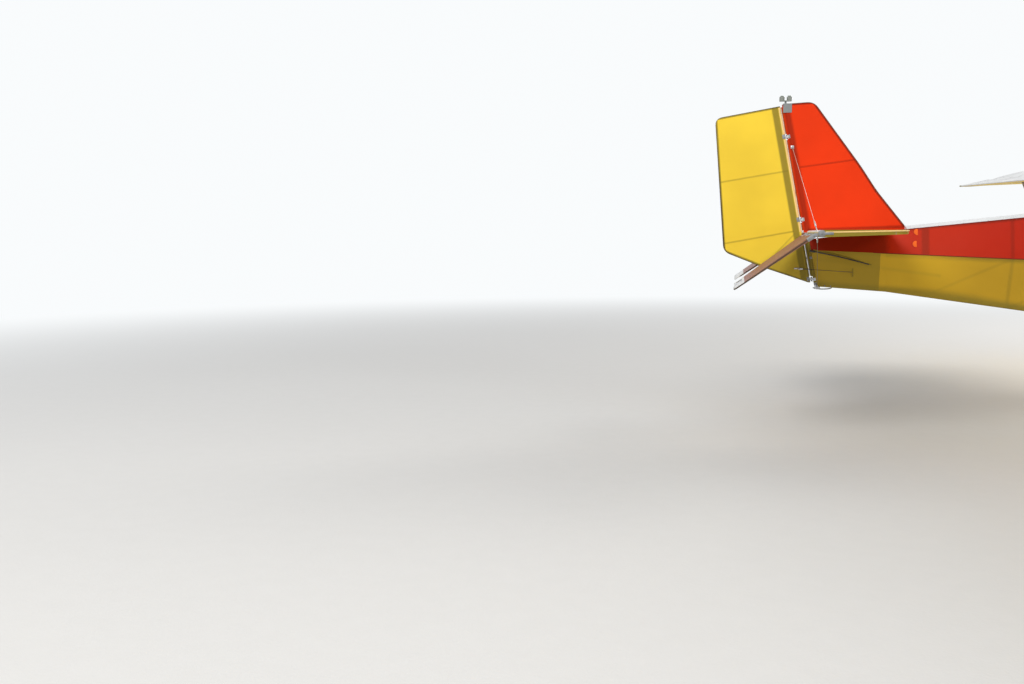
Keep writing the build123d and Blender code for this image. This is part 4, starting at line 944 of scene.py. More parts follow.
def strobe_finish():
    """A grey painted bracket below, and ribbed smoky lobes above it."""
    recipe = Recipe("strobe_finish")
    lobes = recipe.z.rise(2.2925, 2.2935)
    rings = recipe.waves("Z", 0.004)
    tone = recipe.mix(recipe.noise(40, 3), (0.20, 0.215, 0.215), (0.27, 0.285, 0.285))
    glass = recipe.mix(rings, (0.16, 0.175, 0.150), (0.34, 0.365, 0.33))
    tone = recipe.mix(lobes, tone, glass)
    return recipe.surface(tone, lobes * -0.25 + 0.5, 0.0, recipe.bump((rings * lobes, 0.0006)))


def wire_finish():
    """Stranded wire, painted pinkish light above the tailplane and painted shade below it."""
    recipe = Recipe("brace_wire_finish")
    strands = recipe.waves("DIAGONAL", 0.0022)
    lit_above_tailplane = recipe.z.rise(1.370, 1.376)
    tone = recipe.mix(lit_above_tailplane, (0.17, 0.13, 0.05), (0.72, 0.56, 0.52))
    return recipe.surface(tone, strands * 0.15 + 0.35, lit_above_tailplane * 0.5, recipe.bump((strands, 0.0003)))


aluminium = metal("aluminium_tube_finish", (0.66, 0.67, 0.69), 0.36)
steel = metal("plated_steel_finish", (0.56, 0.56, 0.57), 0.34, (90, 90, 90))
dark_steel = metal("exhaust_steel_finish", (0.36, 0.31, 0.27), 0.46, (40, 40, 40))
cast_metal = metal("engine_metal_finish", (0.30, 0.31, 0.32), 0.58, (120, 120, 120), 0.0005, 0.85)
strut_paint = painted("strut_paint_finish", (0.78, 0.79, 0.80), 0.24)
gear_paint = painted("gear_paint_finish", (0.76, 0.77, 0.78), 0.28)
# The cowl halves take the covers' red and yellow, with the same painted shade in them.
red_gelcoat = gelcoat("cowl_red_finish", RED_IN_SHADE)
yellow_gelcoat = gelcoat("cowl_yellow_finish", OCHRE_IN_SHADE)
white_gelcoat = gelcoat("spinner_white_finish", (0.82, 0.82, 0.81))
PROP_Z = 1.165


def blade_finish():
    """Black composite blades with a pale band at each tip, by distance from the shaft."""
    recipe = Recipe("propeller_black_finish")
    height = recipe.z - PROP_Z
    reach = (recipe.y * recipe.y + height * height) ** 0.5
    tone = recipe.mix(recipe.noise(7, 4), (0.016, 0.016, 0.018), (0.026, 0.026, 0.028))
    tone = recipe.mix(reach.rise(0.789, 0.791), tone, (0.76, 0.75, 0.70))
    worn = recipe.noise(30, 4).rise(0.62, 0.75) * 0.2
    return recipe.surface(tone, worn + 0.24, 0.0, recipe.bump((recipe.noise(90, 3), 0.0001)))


black_composite = blade_finish()
panel_plastic = plastic("panel_black_finish", (0.035, 0.035, 0.038), 0.5)
black_plastic = plastic("black_plastic_finish", (0.022, 0.022, 0.024), 0.42)
grey_plastic = plastic("grey_plastic_finish", (0.30, 0.31, 0.32), 0.45)
tank_plastic = plastic("tank_plastic_finish", (0.74, 0.73, 0.64), 0.38, 200)
tyre_rubber = rubber()
glazing = clear_sheet()

# %% Give every solid of the frame its finish
FINISHES = {}
seat_cloth = sailcloth("seat_cloth_finish", (0.055, 0.060, 0.072), "YZ")
GROUPS = (
    (rudder_cloth, "rudder"),
    (fin_cloth, "fin"),
    (tail_top_cloth, "stabiliser"),
    (elevator_cloth(), "elevator"),
    (sailcloth("deck_sailcloth", WHITE, "XY"), "rear_deck"),
    (lower_cover(), "rear_cover_lower cabin_lower"),
    (upper_cover(), "rear_cover_upper cabin_upper"),
    (two_colour_panel("door_cloth"), "door_left door_right"),
    (wing_top_cloth, "wing_left wing_right wing_centre aileron_left aileron_right flap_left flap_right"),
    (aluminium, "tail_post cabin_frame firewall control_stick pedals seat_frame trim_tab"),
    (aluminium, "rim_left rim_right rim_nose"),
    (steel, "rudder_fittings elevator_fittings elevator_brackets main_axles"),
    (wire_finish(), "tail_stays"),
    (strut_paint, "strut_front_left strut_front_right strut_rear_left strut_rear_right jury_struts"),
    (gear_paint, "main_gear_bow nose_leg_socket nose_fork"),
    (glazing, "windscreen rear_windows door_glass_left door_glass_right"),
    (red_gelcoat, "cowl_upper"),
    (yellow_gelcoat, "cowl_lower"),
    (white_gelcoat, "spinner"),
    (black_composite, "propeller"),
    (cast_metal, "engine"),
    (dark_steel, "exhaust"),
    (panel_plastic, "instrument_panel"),
    (tank_plastic, "fuel_tanks"),
    (strobe_finish(), "beacon"),
    (tyre_rubber, "tyre_left tyre_right tyre_nose"),
    (seat_cloth, "seat_cushions seat_backs"),
)
for finish, names in GROUPS:
    for name in names.split():
        FINISHES[name] = finish
for name, node in nodes.items():
    for place in node.material_slots:
        place.material = FINISHES[name]
print("finished solids", len(FINISHES), "of", len(nodes))

# %% [markdown]
# ## The tail
#
# Each tail surface is a flat frame of bent tube with a sewn sleeve over it. Along its edge the two layers
# of cloth close over the tube, whose shadow through the cloth is painted as a thin brown line all round.
# A tube bent along the outline gives that line real thickness. Its corners are the solid's, rounded with
# the same radius.

# %% Edge tubes of the rudder and the fin, with painted shadow and highlight
# Dark brown cloth for the edge tubes: painted shadow of the tubes through the cloth
edge_shadow_cloth = sailcloth("edge_tube_shadow_cloth", (0.085, 0.060, 0.035))
# Cream cloth: the painted highlight of the rudder's front tube; the stabiliser's tip binding takes the same
# cream
cream_highlight_binding = sailcloth("leading_edge_highlight_binding", (0.95, 0.66, 0.26))
red_binding = sailcloth("fuselage_red_binding", (0.20, 0.022, 0.014))
# Olive cloth: binding on the wing tips, joints and slots, and painted shade on the tail below the tailplane
olive_binding_and_shade = sailcloth("olive_binding_and_shade_cloth", (0.27, 0.205, 0.030))


def flat_line(points):
    """Points of the side view, put in the aircraft's middle plane."""
    return [(x, 0, z) for x, z in points]


rudder_edge = flat_line([
    side(hinge_line(1.034, 0.020)),
    (-2.450, 1.1385),
    (-2.7255, 1.2475),
    (-2.8035, 2.1815),
    side(hinge_line(2.2545, 0.014)),
])
rudder_edge_tube = bent_tube(open_corners(rudder_edge, 0.044), 0.0145)
dress_all([rudder_edge_tube], "rudder_edge_shadow", edge_shadow_cloth, "rudder")

fin_edge = flat_line([
    (-1.5130, 1.412),
    (-1.5150, 1.4255),
    (-1.7050, 1.6645),
    (-1.8170, 1.8360),
    (-2.1395, 2.2790),
    side(hinge_line(2.2690, -0.008)),
])
fin_edge_tube = bent_tube(open_corners(fin_edge, 0.045), 0.0150)
dress_all([fin_edge_tube], "fin_edge_shadow", edge_shadow_cloth, "airframe")

HINGE_HEIGHTS = (1.052, 1.470, 2.048)
HINGE_CLEAR, HINGE_HALF = 0.020, 0.0078
HEM_FRONT = -0.0105


def between_hinges(low, high):
    """The stretches of the hinge line from low to high that stop short of each hinge."""
    stops = [low]
    for z in HINGE_HEIGHTS:
        if low < z < high:
            stops += [z - HINGE_CLEAR, z + HINGE_CLEAR]
    stops.append(high)
    return zip(stops[::2], stops[1::2])


def along_hinge(low, high, aft, diameter):
    spans = between_hinges(low, high)
    return [rod(hinge_line(start, aft), hinge_line(end, aft), diameter, 28) for start, end in spans]


def hem(low, high, rear):
    """Flat folded cloth from the tail post back to just short of the rudder."""
    lean = math.atan2(rudder_up.x, rudder_up.z)
    strips = []
    for start, end in between_hinges(low, high):
        middle = hinge_line((start + end) / 2, (rear + HEM_FRONT) / 2)
        size = (rear - HEM_FRONT, 0.006, (end - start) / rudder_up.z)
        strips.append(block(middle, size, 0.001, 2, (0, lean, 0)))
    return strips


# The rudder's front tube has a painted highlight above the tailplane and painted shade below it
highlit_lead = along_hinge(1.385, 2.250, 0.0225, 0.0260)
shaded_lead = along_hinge(1.034, 1.335, 0.0225, 0.0260)
dress_all(highlit_lead, "rudder_leading_highlight", cream_highlight_binding, "rudder")
dress_all(shaded_lead, "rudder_low_leading_shade", olive_binding_and_shade, "rudder")
# The fin's hem closes the gap down to the hinge line in the fin cloth's painted shade; below the tailplane
# the hem takes the olive painted shade and a bright rod edges it
shaded_hem_cloth = sailcloth("fin_hem_shaded_cloth", (0.42, 0.075, 0.008))
dress_all(hem(1.395, 2.255, 0.0075), "fin_rear_hem", shaded_hem_cloth, "airframe")
dress_all(hem(1.034, 1.335, 0.0010), "stern_hem", olive_binding_and_shade, "airframe")
gap_rod = along_hinge(1.075, 1.335, 0.0042, 0.0064)
dress_all(gap_rod, "stern_gap_rod", aluminium, "airframe")
sleeves = []
for low, high in ((1.030, 1.042), (1.063, 1.196), (1.214, 1.345)):
    sleeves.append(rod(hinge_line(low, -0.028), hinge_line(high, -0.028), 0.0368, 36))
dress_all(sleeves, "post_sleeves", olive_binding_and_shade, "airframe")

# %% [markdown]
# Three hinges carry the rudder. Each has a lug on the post between two fork plates on the rudder's tube.
# The band that clamps the fork to the tube, the pin's head and its nut are added here, along the leaning
# axis. The same is done for the elevator's six hinges along the spar.

# %% Hinge hardware
bands = []
for z in HINGE_HEIGHTS:
    middle = hinge_line(z, 0.025)
    bands.append(rod_about(middle, rudder_up * 0.016, 0.0285, 28, 0.001))
    bands += bolt_pair(hinge_line(z), rudder_up, HINGE_HALF, 0.9)
dress_all(bands, "rudder_hinge_bands", cast_metal, "rudder")


def on_elevator(aft, y):
    """A point on the elevator, from its hinge axis."""
    return Vector((elevator_pin.x, 0, elevator_pin.z)) + ELEVATOR_AFT * aft + sideways(y)


def half_span_edge_tube(hand):
    """Edge tube round one elevator half, dark as painted shadow; hand is 1 on the left."""
    corners = [(0.030, 1.1095), (0.577, 1.1095), (0.577, 0.331), (0.048, 0.068)]
    if hand < 0:
        corners[2:2] = [(0.577, 0.792), (0.517, 0.790), (0.517, 0.450), (0.577, 0.448)]
    points = [on_elevator(aft, hand * y) for aft, y in corners]
    return bent_tube(open_corners(points, 0.070), 0.009)


elevator_edge_tube = [half_span_edge_tube(hand) for hand in (1, -1)]
dress_all(elevator_edge_tube, "elevator_edge_shadow", edge_shadow_cloth, "elevator")

hinge_bits = []
for span in (0.180, 0.620, 1.060):
    for hand in (-1, 1):
        out = sideways(hand)
        hinge_bits += bolt_pair(on_elevator(0, hand * span), out, HINGE_HALF, 0.9)
        hinge_bits.append(rod_about(on_elevator(0.024, hand * span), out * 0.017, 0.0232, 24, 0.001))
dress_all(hinge_bits, "elevator_hinge_bands", steel, "elevator")

# A plate closes the outer end of each half's tube
end_plates = []
for hand in (-1, 1):
    end = on_elevator(0.026, hand * 1.1125)
    end_plates.append(block(end, (0.062, 0.005, 0.026), 0.002, 2, (0, -DROOP, 0)))
    end_plates += bolts([(on_elevator(aft, hand * 1.1150), (0, hand, 0)) for aft in (0.010, 0.044)], 0.7)
dress_all(end_plates, "elevator_end_plates", cast_metal, "elevator")

# %% [markdown]
# The stabiliser's rear spar is a tube. Each end of it carries a grey plate with a ring round its bolt, and
# a short arm that runs forward. The tip is bound like the other edges.

# %% Stabiliser tips and spar ends
SPAR = Vector((-2.140, 0, 1.372))
# Inner end, outer end, diameter, sides and rim of the plate and of the ring on it
SPAR_DISCS = ((1.093, 1.0985, 0.044, 36, 0.0008), (1.098, 1.104, 0.030, 28, 0.002))
tip_pieces, plates = [], []
for hand in (-1, 1):
    tip_line = [
        (-2.120, hand * 1.0935, 1.3720),
        (-1.6290, hand * 1.0935, 1.3820),
        (-1.6275, hand * 0.030, 1.3820),
    ]
    tip_curve = [point + upwards(0.008) for point in open_corners(tip_line, 0.150, 10)]
    tip_pieces.append(bent_tube(tip_curve, 0.009))
    for inner, outer, *disc in SPAR_DISCS:
        plates.append(rod(SPAR + sideways(hand * inner), SPAR + sideways(hand * outer), *disc))
    plates.append(bolt(SPAR + sideways(hand * 1.1035), (0, hand, 0), 0.9))
    arm_start = SPAR + Vector((0.010, hand * 1.0975, 0.0))
    arm_middle = arm_start + Vector((0.030, 0, 0.001))
    plates.append(block(arm_middle, (0.055, 0.003, 0.016), 0.0012, 2, (0, math.radians(-1.2), 0)))
    plates.append(bolt(arm_start + Vector((0.049, hand * 0.0015, 0.001)), (0, hand, 0), 0.7))
dress_all(tip_pieces, "stabiliser_edge_binding", cream_highlight_binding, "airframe")
dress_all(plates, "stabiliser_spar_plates", cast_metal, "airframe")

# %% [markdown]
# Four wires hold the tailplane square to the post. Each has a tang and a bolt at the post, a swaged sleeve
# at both ends, and a turnbuckle near its outer end that sets its tension.

# %% Ends of the brace wires
UPPER_STAY = (hinge_line(1.978, -0.022), 0.019)
LOWER_STAY = (hinge_line(0.992, -0.028), 0.0175)
FOOT_UP = Vector((-2.159, 0, 1.381))
FOOT_DOWN = Vector((-2.159, 0, 1.363))
wire_ends = []
for hand in (-1, 1):
    for (head, half), foot in ((UPPER_STAY, FOOT_UP), (LOWER_STAY, FOOT_DOWN)):
        top = head + sideways(hand * half)
        end = foot + sideways(hand * 1.0)
        way = (end - top).normalized()
        wire_ends.append(rod(top + way * 0.012, top + way * 0.058, 0.0062, 14, 0.001))
        wire_ends.append(rod(end - way * 0.012, end - way * 0.060, 0.0062, 14, 0.001))
        wire_ends.append(rod(end - way * 0.070, end - way * 0.128, 0.0105, 18, 0.0015, 0.0085))
        wire_ends.append(block(top + way * 0.006, (0.022, 0.0032, 0.022), 0.001, 2))
        wire_ends.append(bolt(top + sideways(hand * 0.0016), (0, hand, 0), 0.75))
dress_all(wire_ends, "brace_wire_ends", steel, "airframe")

# %% [markdown]
# The rudder's horn is a flat bar that sticks out on both sides below the elevator. A cable runs from each
# end forward into a slot in the cover. The cable crosses the hinge; it is a straight line of even points
# from its slot to the horn.

# %% Rudder horn and cables
HANDS = ((1, "left"), (-1, "right"))
HORN_Z, HORN_AFT, HORN_REACH = 1.127, 0.077, 0.110
horn_middle = hinge_line(HORN_Z, HORN_AFT)
SLOT = Vector((-1.850, 0.088, 1.106))
horn = block(horn_middle, (0.030, 2 * HORN_REACH, 0.0035))
edit_faces(horn, lambda centre, normal: abs(normal.y) > 0.9)
bpy.ops.transform.resize(value=(0.45, 1, 1), center_override=horn_middle)
leave_edit()
rounded(horn, 0.0012)
horn_parts = [horn, block(horn_middle, (0.060, 0.034, 0.010), 0.002)]
for hand in (-1, 1):
    tip = horn_middle + sideways(hand * (HORN_REACH - 0.006))
    horn_parts += bolt_pair(tip, upwards(1), 0.0018, 0.7)
    horn_parts.append(block(tip + ahead(0.012), (0.026, 0.010, 0.012), 0.002))
dress_all(horn_parts, "rudder_horn", steel, "rudder")


def even_points(start, end, steps):
    """Points at even distances along a straight line."""
    return [start.lerp(end, step / steps) for step in range(steps + 1)]


for hand, name in HANDS:
    tip = horn_middle + Vector((0.024, hand * (HORN_REACH - 0.006), 0))
    slot_point = Vector((SLOT.x, hand * SLOT.y, SLOT.z))
    fork = rod(tip, tip.lerp(slot_point, 0.10), 0.0062, 12, 0.001)
    cable_bits = [bent_tube(even_points(slot_point, tip, 24), 0.0036), fork]
    cable = dress_all(cable_bits, "rudder_cable_" + name, black_plastic, None)
    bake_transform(cable)

# %% [markdown]
# Where a cable or rod goes through the cloth, a patch with a slot in a plastic lip keeps it from tearing.
# The long slit under the tailplane holds the elevator's control rod.

# %% Slots in the lower cover and the elevator's rod
# Each wall is given by stations of x, low z, low half-width, high z and high half-width
LOWER_WALL = (
    (-2.23, 1.010, 0.022, 1.261, 0.034),
    (-1.63, 0.973, 0.092, 1.238, 0.138),
    (0.24, 0.731, 0.356, 1.165, 0.530),
)
UPPER_WALL = ((-1.63, 1.238, 0.138, 1.389, 0.092), (0.24, 1.165, 0.530, 1.587, 0.443))


def on_cover(x, z, proud=0.0, wall=LOWER_WALL):
    """A point on the right side of a rear cover, pushed outwards."""
    aft, fore = next(pair for pair in zip(wall, wall[1:]) if x <= pair[1][0])
    share = (x - aft[0]) / (fore[0] - aft[0])
    low_z, low_y, high_z, high_y = (
        start + (end - start) * share for start, end in zip(aft[1:], fore[1:])
    )
    level = (z - low_z) / (high_z - low_z)
    return Vector((x, -(low_y + (high_y - low_y) * level) - proud, z))


def flipped(point):
    return Vector((point.x, -point.y, point.z))


rod_places = ((-2.120, 1.2500), (-1.990, 1.2240), (-1.860, 1.1920), (-1.745, 1.1610))
lip_places = ((-2.115, 1.2600), (-1.985, 1.2345), (-1.860, 1.2020), (-1.730, 1.1580))
slot_lips, rods = [], []
for pick in (Vector, flipped):
    rod_line = [pick(on_cover(x, z, 0.004)) for x, z in rod_places]
    lip_line = [pick(on_cover(x, z, 0.002)) for x, z in lip_places]
    rods.append(bent_tube(rod_line, 0.0075, smooth_path=True))
    rods.append(rod_about(rod_line[0], Vector((0.020, 0, -0.004)), 0.014, 18, 0.002))
    slot_lips.append(bent_tube(lip_line, 0.0055, smooth_path=True))
    slot_lips.append(block(pick(on_cover(-1.848, 1.106, 0.001)), (0.007, 0.006, 0.062), 0.0025, 3))
dress_all(rods, "elevator_control_rods", black_plastic, "airframe")
dress_all(slot_lips, "cable_slot_lips", olive_binding_and_shade, "airframe")

# %% [markdown]
# Under the stern a bent steel rod keeps the cloth off the ground when the nose is lifted. Small straps
# tie the covers to the post above it.

# %% Stern skid and straps
skid_line = flat_line([
    (-2.105, 0.992),
    (-2.085, 0.9845),
    (-2.050, 0.9820),
    (-2.012, 0.9830),
    (-1.985, 0.9870),
    (-1.972, 0.999),
])
stern_bits = [bent_tube(open_corners(skid_line, 0.012), 0.008)]
stern_bits.append(block((-1.972, 0, 0.9985), (0.030, 0.026, 0.004), 0.001))
for z in (1.020, 1.205):
    stern_bits.append(rod_about(hinge_line(z, -0.028), rudder_up * 0.009, 0.0375, 32, 0.0008))
for hand in (-1, 1):
    stern_bits.append(bolt(hinge_line(1.000, -0.040) + sideways(hand * 0.0185), (0, hand, 0), 0.9))
    for x, z in ((-2.085, 1.0105), (-2.030, 1.0075), (-1.990, 1.0055)):
        spot = on_cover(x, z, 0.0004)
        stern_bits.append(bolt(Vector((spot.x, -hand * spot.y, spot.z)), (0, hand, -0.15), 0.55))
dress_all(stern_bits, "stern_skid_and_straps", cast_metal, "airframe")

# Two round patches over the stabiliser's front pins, bright orange as painted sunlight through them
patches = []
for x, z in ((-1.447, 1.384), (-1.454, 1.303)):
    for pick in (Vector, flipped):
        centre = pick(on_cover(x, z, wall=UPPER_WALL))
        outward = pick(Vector((0.2, -0.95, 0.28)).normalized())
        patches.append(rod(centre - outward * 0.004, centre + outward * 0.0016, 0.044, 32, 0.0006))
sunlit_patch_cloth = sailcloth("round_patch_sunlit_cloth", (0.98, 0.16, 0.02))
dress_all(patches, "round_sunlit_patches", sunlit_patch_cloth, "airframe")
# %% [markdown]
# ## The fuselage covers
#
# The covers meet over the frame's tubes in sewn seams. Each seam is a raised piping, so it catches the
# light as a thin line. The stations are those of the solid covers: height and half-width at the seam, the
# top edge and the bottom.

# %% Piping along the fuselage
SEAM_Z, CABIN_HALF = 1.165, 0.530
SEAM = (
    (-2.090, 0.0450, 1.2560),
    (-1.630, 0.1380, 1.2380),
    (0.240, CABIN_HALF, SEAM_Z),
    (1.250, CABIN_HALF, SEAM_Z),
    (1.648, 0.4305, SEAM_Z),
)
DECK_EDGE = ((-1.600, 0.0985, 1.3915), (0.238, 0.4425, 1.5865))
DOOR_REAR, DOOR_FRONT, DOOR_TOP = 0.470, 1.235, 1.765


def both_sides(build):
    """Build the same pieces on both sides and give them as one list."""
    pieces = []
    for hand in (1, -1):
        pieces += build(hand)
    return pieces


def cut_line(stations, start, end):
    """The part of a line of (x, y, z) stations between two x values."""
    line = []
    for (x0, y0, z0), (x1, y1, z1) in zip(stations, stations[1:]):
        for x in (start, x0, x1, end):
            if x0 <= x <= x1 and start <= x <= end:
                share = (x - x0) / (x1 - x0)
                point = (x, y0 + (y1 - y0) * share, z0 + (z1 - z0) * share)
                if point not in line:
                    line.append(point)
    return sorted(line)


def to_hand(points, hand):
    return [(x, hand * y, z) for x, y, z in points]


def seam_piping(hand):
    spans = ((-2.090, DOOR_REAR - 0.012), (DOOR_FRONT + 0.012, 1.648))
    return [bent_tube(to_hand(cut_line(SEAM, low, high), hand), 0.0055) for low, high in spans]


dress_all(both_sides(seam_piping), "seam_piping", red_binding, "airframe")


def deck_piping(hand):
    return [bent_tube(to_hand(DECK_EDGE, hand), 0.0065)]


dress_all(both_sides(deck_piping), "deck_piping", red_binding, "airframe")


def side_wall(x, z, hand, proud=0.0):
    """A point on the cabin's side beside the doors."""
    drop = 0.205 * (z - SEAM_Z) if z > SEAM_Z else 0.40 * (SEAM_Z - z)
    return Vector((x, hand * (CABIN_HALF - drop + proud), z))


# A band of tape covers the joint between the rear covers and the cabin
def joint_band(hand):
    corners = [(0.350, 0.7285), (0.5310, 1.165), (0.4010, 1.801)]
    outline = [(0.240, hand * y, z) for y, z in corners]
    return [bent_tube([(0.240, 0, 0.7285), *outline], 0.006)]


dress_all(both_sides(joint_band), "cabin_joint_bands", olive_binding_and_shade, "airframe")

# %% [markdown]
# ## The doors
#
# Each door has a rubber seal round its edge, a bead that holds the window, a latch near its rear edge and a
# strip of piping that carries the seam's line across it. All of these ride on the door.

# %% Door seals, beads and latches
SEAL_INSET = 0.006
WINDOW = (0.525, 1.180, 1.290, 1.710)


def loop_on_side(corners, hand, radius, diameter, proud=0.0):
    """A closed tube on the cabin's side through (x, z) corners."""
    flat = round_corners([(x, 0, z) for x, z in corners], radius)
    return bent_tube([side_wall(point.x, point.z, hand, proud) for point in flat], diameter, closed=True)


def rectangle(low_x, high_x, low_z, high_z):
    return [(low_x, low_z), (high_x, low_z), (high_x, high_z), (low_x, high_z)]


SEAL_REAR, SEAL_FRONT = DOOR_REAR + SEAL_INSET, DOOR_FRONT - SEAL_INSET
SEAL_LOW, SEAL_TOP = 0.800 + SEAL_INSET, DOOR_TOP - SEAL_INSET - 0.024
door_corners = [
    (SEAL_REAR, 0.963),
    (0.623, SEAL_LOW),
    (1.142, SEAL_LOW),
    (SEAL_FRONT, 0.932),
    (SEAL_FRONT, SEAM_Z),
    (SEAL_FRONT, SEAL_TOP),
    (SEAL_REAR, SEAL_TOP),
    (SEAL_REAR, SEAM_Z),
]
for hand, name in HANDS:
    body = "door_" + name
    out = Vector((0, hand, 0.2)).normalized()
    soft = [
        loop_on_side(door_corners, hand, 0.010, 0.007),
        loop_on_side(rectangle(*WINDOW), hand, 0.060, 0.009),
    ]
    dress_all(soft, "door_seals_" + name, black_plastic, body)
    line = [side_wall(x, SEAM_Z, hand) for x in (DOOR_REAR + 0.012, DOOR_FRONT - 0.012)]
    dress_all([bent_tube(line, 0.0055)], "door_seam_piping_" + name, red_binding, body)
    # Latch: a round plate, a turned handle and its bolt
    at = side_wall(0.560, 1.232, hand)
    latch = [
        rod_about(at, out * 0.004, 0.046, 32, 0.0015),
        rod(at, at + out * 0.020, 0.016, 20, 0.002),
        block(at + out * 0.022 + ahead(0.030), (0.092, 0.010, 0.018), 0.004, 3),
    ]
    latch.append(bolt(at + out * 0.026, out, 0.8))
    for x, z in ((0.545, 1.262), (0.545, 1.202), (0.590, 1.262), (0.590, 1.202)):
        latch.append(bolt(side_wall(x, z, hand, 0.0005), out, 0.45))
    dress_all(latch, "door_latch_" + name, steel, body)
    # A pull handle inside, on the rail under the window
    grip_line = ((0.76, 1.268, 0), (0.77, 1.266, 0.028), (0.88, 1.266, 0.028), (0.89, 1.268, 0))
    inner = [side_wall(x, z, hand, -0.024 - depth) for x, z, depth in grip_line]
    pull = bent_tube(open_corners(inner, 0.015), 0.012)
    dress_all([pull], "door_pull_" + name, black_plastic, body)

# %% [markdown]
# ## Glazing trim
#
# The windscreen is thin sheet bent over the frame. Flat strips with small screws clamp its edges: up the
# two sloping front tubes, along the sill and across the roof. The rear windows have lighter beads.

# %% Strips round the windscreen and the rear windows
SCREEN_TOP = (1.275, 0.3981, 1.7725)
SCREEN_SIDE = (1.275, 0.4896, 1.3320)
SCREEN_NOSE_LOW = (1.6490, 0.3790, 1.3320)
SCREEN_NOSE = (1.6490, 0.3700, 1.3590)
REAR_LOW_FRONT, REAR_LOW_TAIL = (0.238, 0.4400, 1.5890), (-0.238, 0.3235, 1.5400)
REAR_TOP_FRONT, REAR_TOP_TAIL = (0.238, 0.4005, 1.7990), (-0.238, 0.2935, 1.5760)


def sheet_strip(start, end, width, thickness, normal):
    """A flat strip along a line, with its face square to a direction."""
    start, end, normal = Vector(start), Vector(end), Vector(normal)
    way = (end - start).normalized()
    across = way.cross(normal).normalized()
    up = across.cross(way)
    matrix = Matrix((way, across, up)).transposed().to_4x4()
    matrix.translation = (start + end) / 2
    piece = block((0, 0, 0), ((end - start).length, width, thickness), min(width, thickness) * 0.3)
    piece.data.transform(matrix)
    return piece


def strip_screws(start, end, count, normal):
    start, end, normal = Vector(start), Vector(end), Vector(normal).normalized()
    return bolts(
        [(start.lerp(end, (i + 0.5) / count) + normal * 0.0015, normal) for i in range(count)], 0.42
    )


def screen_strips(hand):
    corners = (SCREEN_TOP, SCREEN_SIDE, SCREEN_NOSE_LOW, SCREEN_NOSE)
    top, wall, low, nose = (Vector(point) for point in to_hand(corners, hand))
    outward = Vector((0.10, hand * 0.97, 0.20)).normalized()
    corner = Vector((0.45, hand * 0.60, 0.55)).normalized()
    pieces = [bent_tube([top, nose], 0.013)]
    for start, end, width in ((top, wall, 0.024), (wall, low, 0.022)):
        pieces.append(sheet_strip(start, end, width, 0.003, outward))
        pieces += strip_screws(start, end, 6, outward)
    pieces.append(rod(nose, low, 0.010, 14))
    pieces += strip_screws(top + corner * 0.004, nose + corner * 0.004, 7, corner)
    return pieces


strips = both_sides(screen_strips)
roof_right, roof_left, roof_way = (1.2745, -0.398, 1.7730), (1.2745, 0.398, 1.7730), (0.74, 0, 0.67)
strips.append(sheet_strip(roof_right, roof_left, 0.026, 0.003, roof_way))
strips += strip_screws(roof_right, roof_left, 11, roof_way)
strips.append(bent_tube([(1.649, -0.370, 1.359), (1.649, 0.370, 1.359)], 0.010))
dress_all(strips, "windscreen_strips", aluminium, "airframe")


def rear_beads(hand):
    outline = to_hand((REAR_LOW_FRONT, REAR_LOW_TAIL, REAR_TOP_TAIL, REAR_TOP_FRONT), hand)
    corners = rectangle(0.275, 0.395, 1.560, 1.740)
    return [bent_tube(outline, 0.008), loop_on_side(corners, hand, 0.025, 0.007, -0.001)]


beads = both_sides(rear_beads)
beads.append(bent_tube([(-0.238, -0.2935, 1.576), (-0.238, 0.2935, 1.576)], 0.008))
beads.append(bent_tube([(0.236, 0, 1.800), (-0.238, 0, 1.5775)], 0.008))
dress_all(beads, "rear_window_beads", black_plastic, "airframe")

# Screws hold the deck's edge down along both longerons
deck_screws = []
for hand in (1, -1):
    for step in range(12):
        x = -1.46 + step * 0.148
        share = (x + 1.63) / 1.87
        place = Vector((x, hand * (0.092 + 0.351 * share - 0.014), 1.389 + 0.198 * share + 0.0025))
        deck_screws.append(bolt(place, (-0.1, hand * 0.10, 1), 0.5))
dress_all(deck_screws, "deck_screws", steel, "airframe")
# %% [markdown]
# ## Cowl, propeller and exhaust
#
# Fittings on a curved panel are placed by casting a ray onto its solid. The ray gives the point and the
# direction that the panel faces there, so that each fastener lies flat on it.

# %% Fasteners and intake rings on the cowl
def on_surface(node, start, direction):
    """Where a ray meets a solid of the frame, and the direction that the solid faces there."""
    solid = nodes[node]
    inverse = solid.matrix_world.inverted()
    way = (inverse.to_3x3() @ Vector(direction)).normalized()
    hit, place, normal, _ = solid.ray_cast(inverse @ Vector(start), way)
    if not hit:
        raise ValueError(f"no surface of {node} from {start}")
    return solid.matrix_world @ place, (solid.matrix_world.to_3x3() @ normal).normalized()


def make_quarter_turn():
    """A flush quarter-turn fastener with a raised bar across its head."""
    head = rod((0, 0, -0.001), (0, 0, 0.0014), 0.015, 20, 0.0005)
    return join([head, block((0, 0, 0.0017), (0.011, 0.0018, 0.0012), 0.0003)], "quarter_turn_model")


quarter_turn = make_quarter_turn()
cowl_fasteners = []
spots = []
for hand in (1, -1):
    for step in range(9):
        for half, z in (("cowl_upper", 1.188), ("cowl_lower", 1.142)):
            spots.append((half, (1.700 + step * 0.098, hand, z), (0, -hand, 0)))
    for half, heights in (("cowl_upper", (1.240, 1.315)), ("cowl_lower", (0.760, 0.860, 0.960, 1.060))):
        spots += [(half, (1.674, hand, z), (0, -hand, 0)) for z in heights]
for y in (-0.27, -0.135, 0, 0.135, 0.27):
    spots.append(("cowl_upper", (1.674, y, 2.0), (0, 0, -1)))
for node, start, direction in spots:
    place, normal = on_surface(node, start, direction)
    cowl_fasteners.append(copy_at(quarter_turn, along(normal, place)))
bpy.data.objects.remove(quarter_turn)
dress_all(cowl_fasteners, "cowl_fasteners", steel, "airframe")


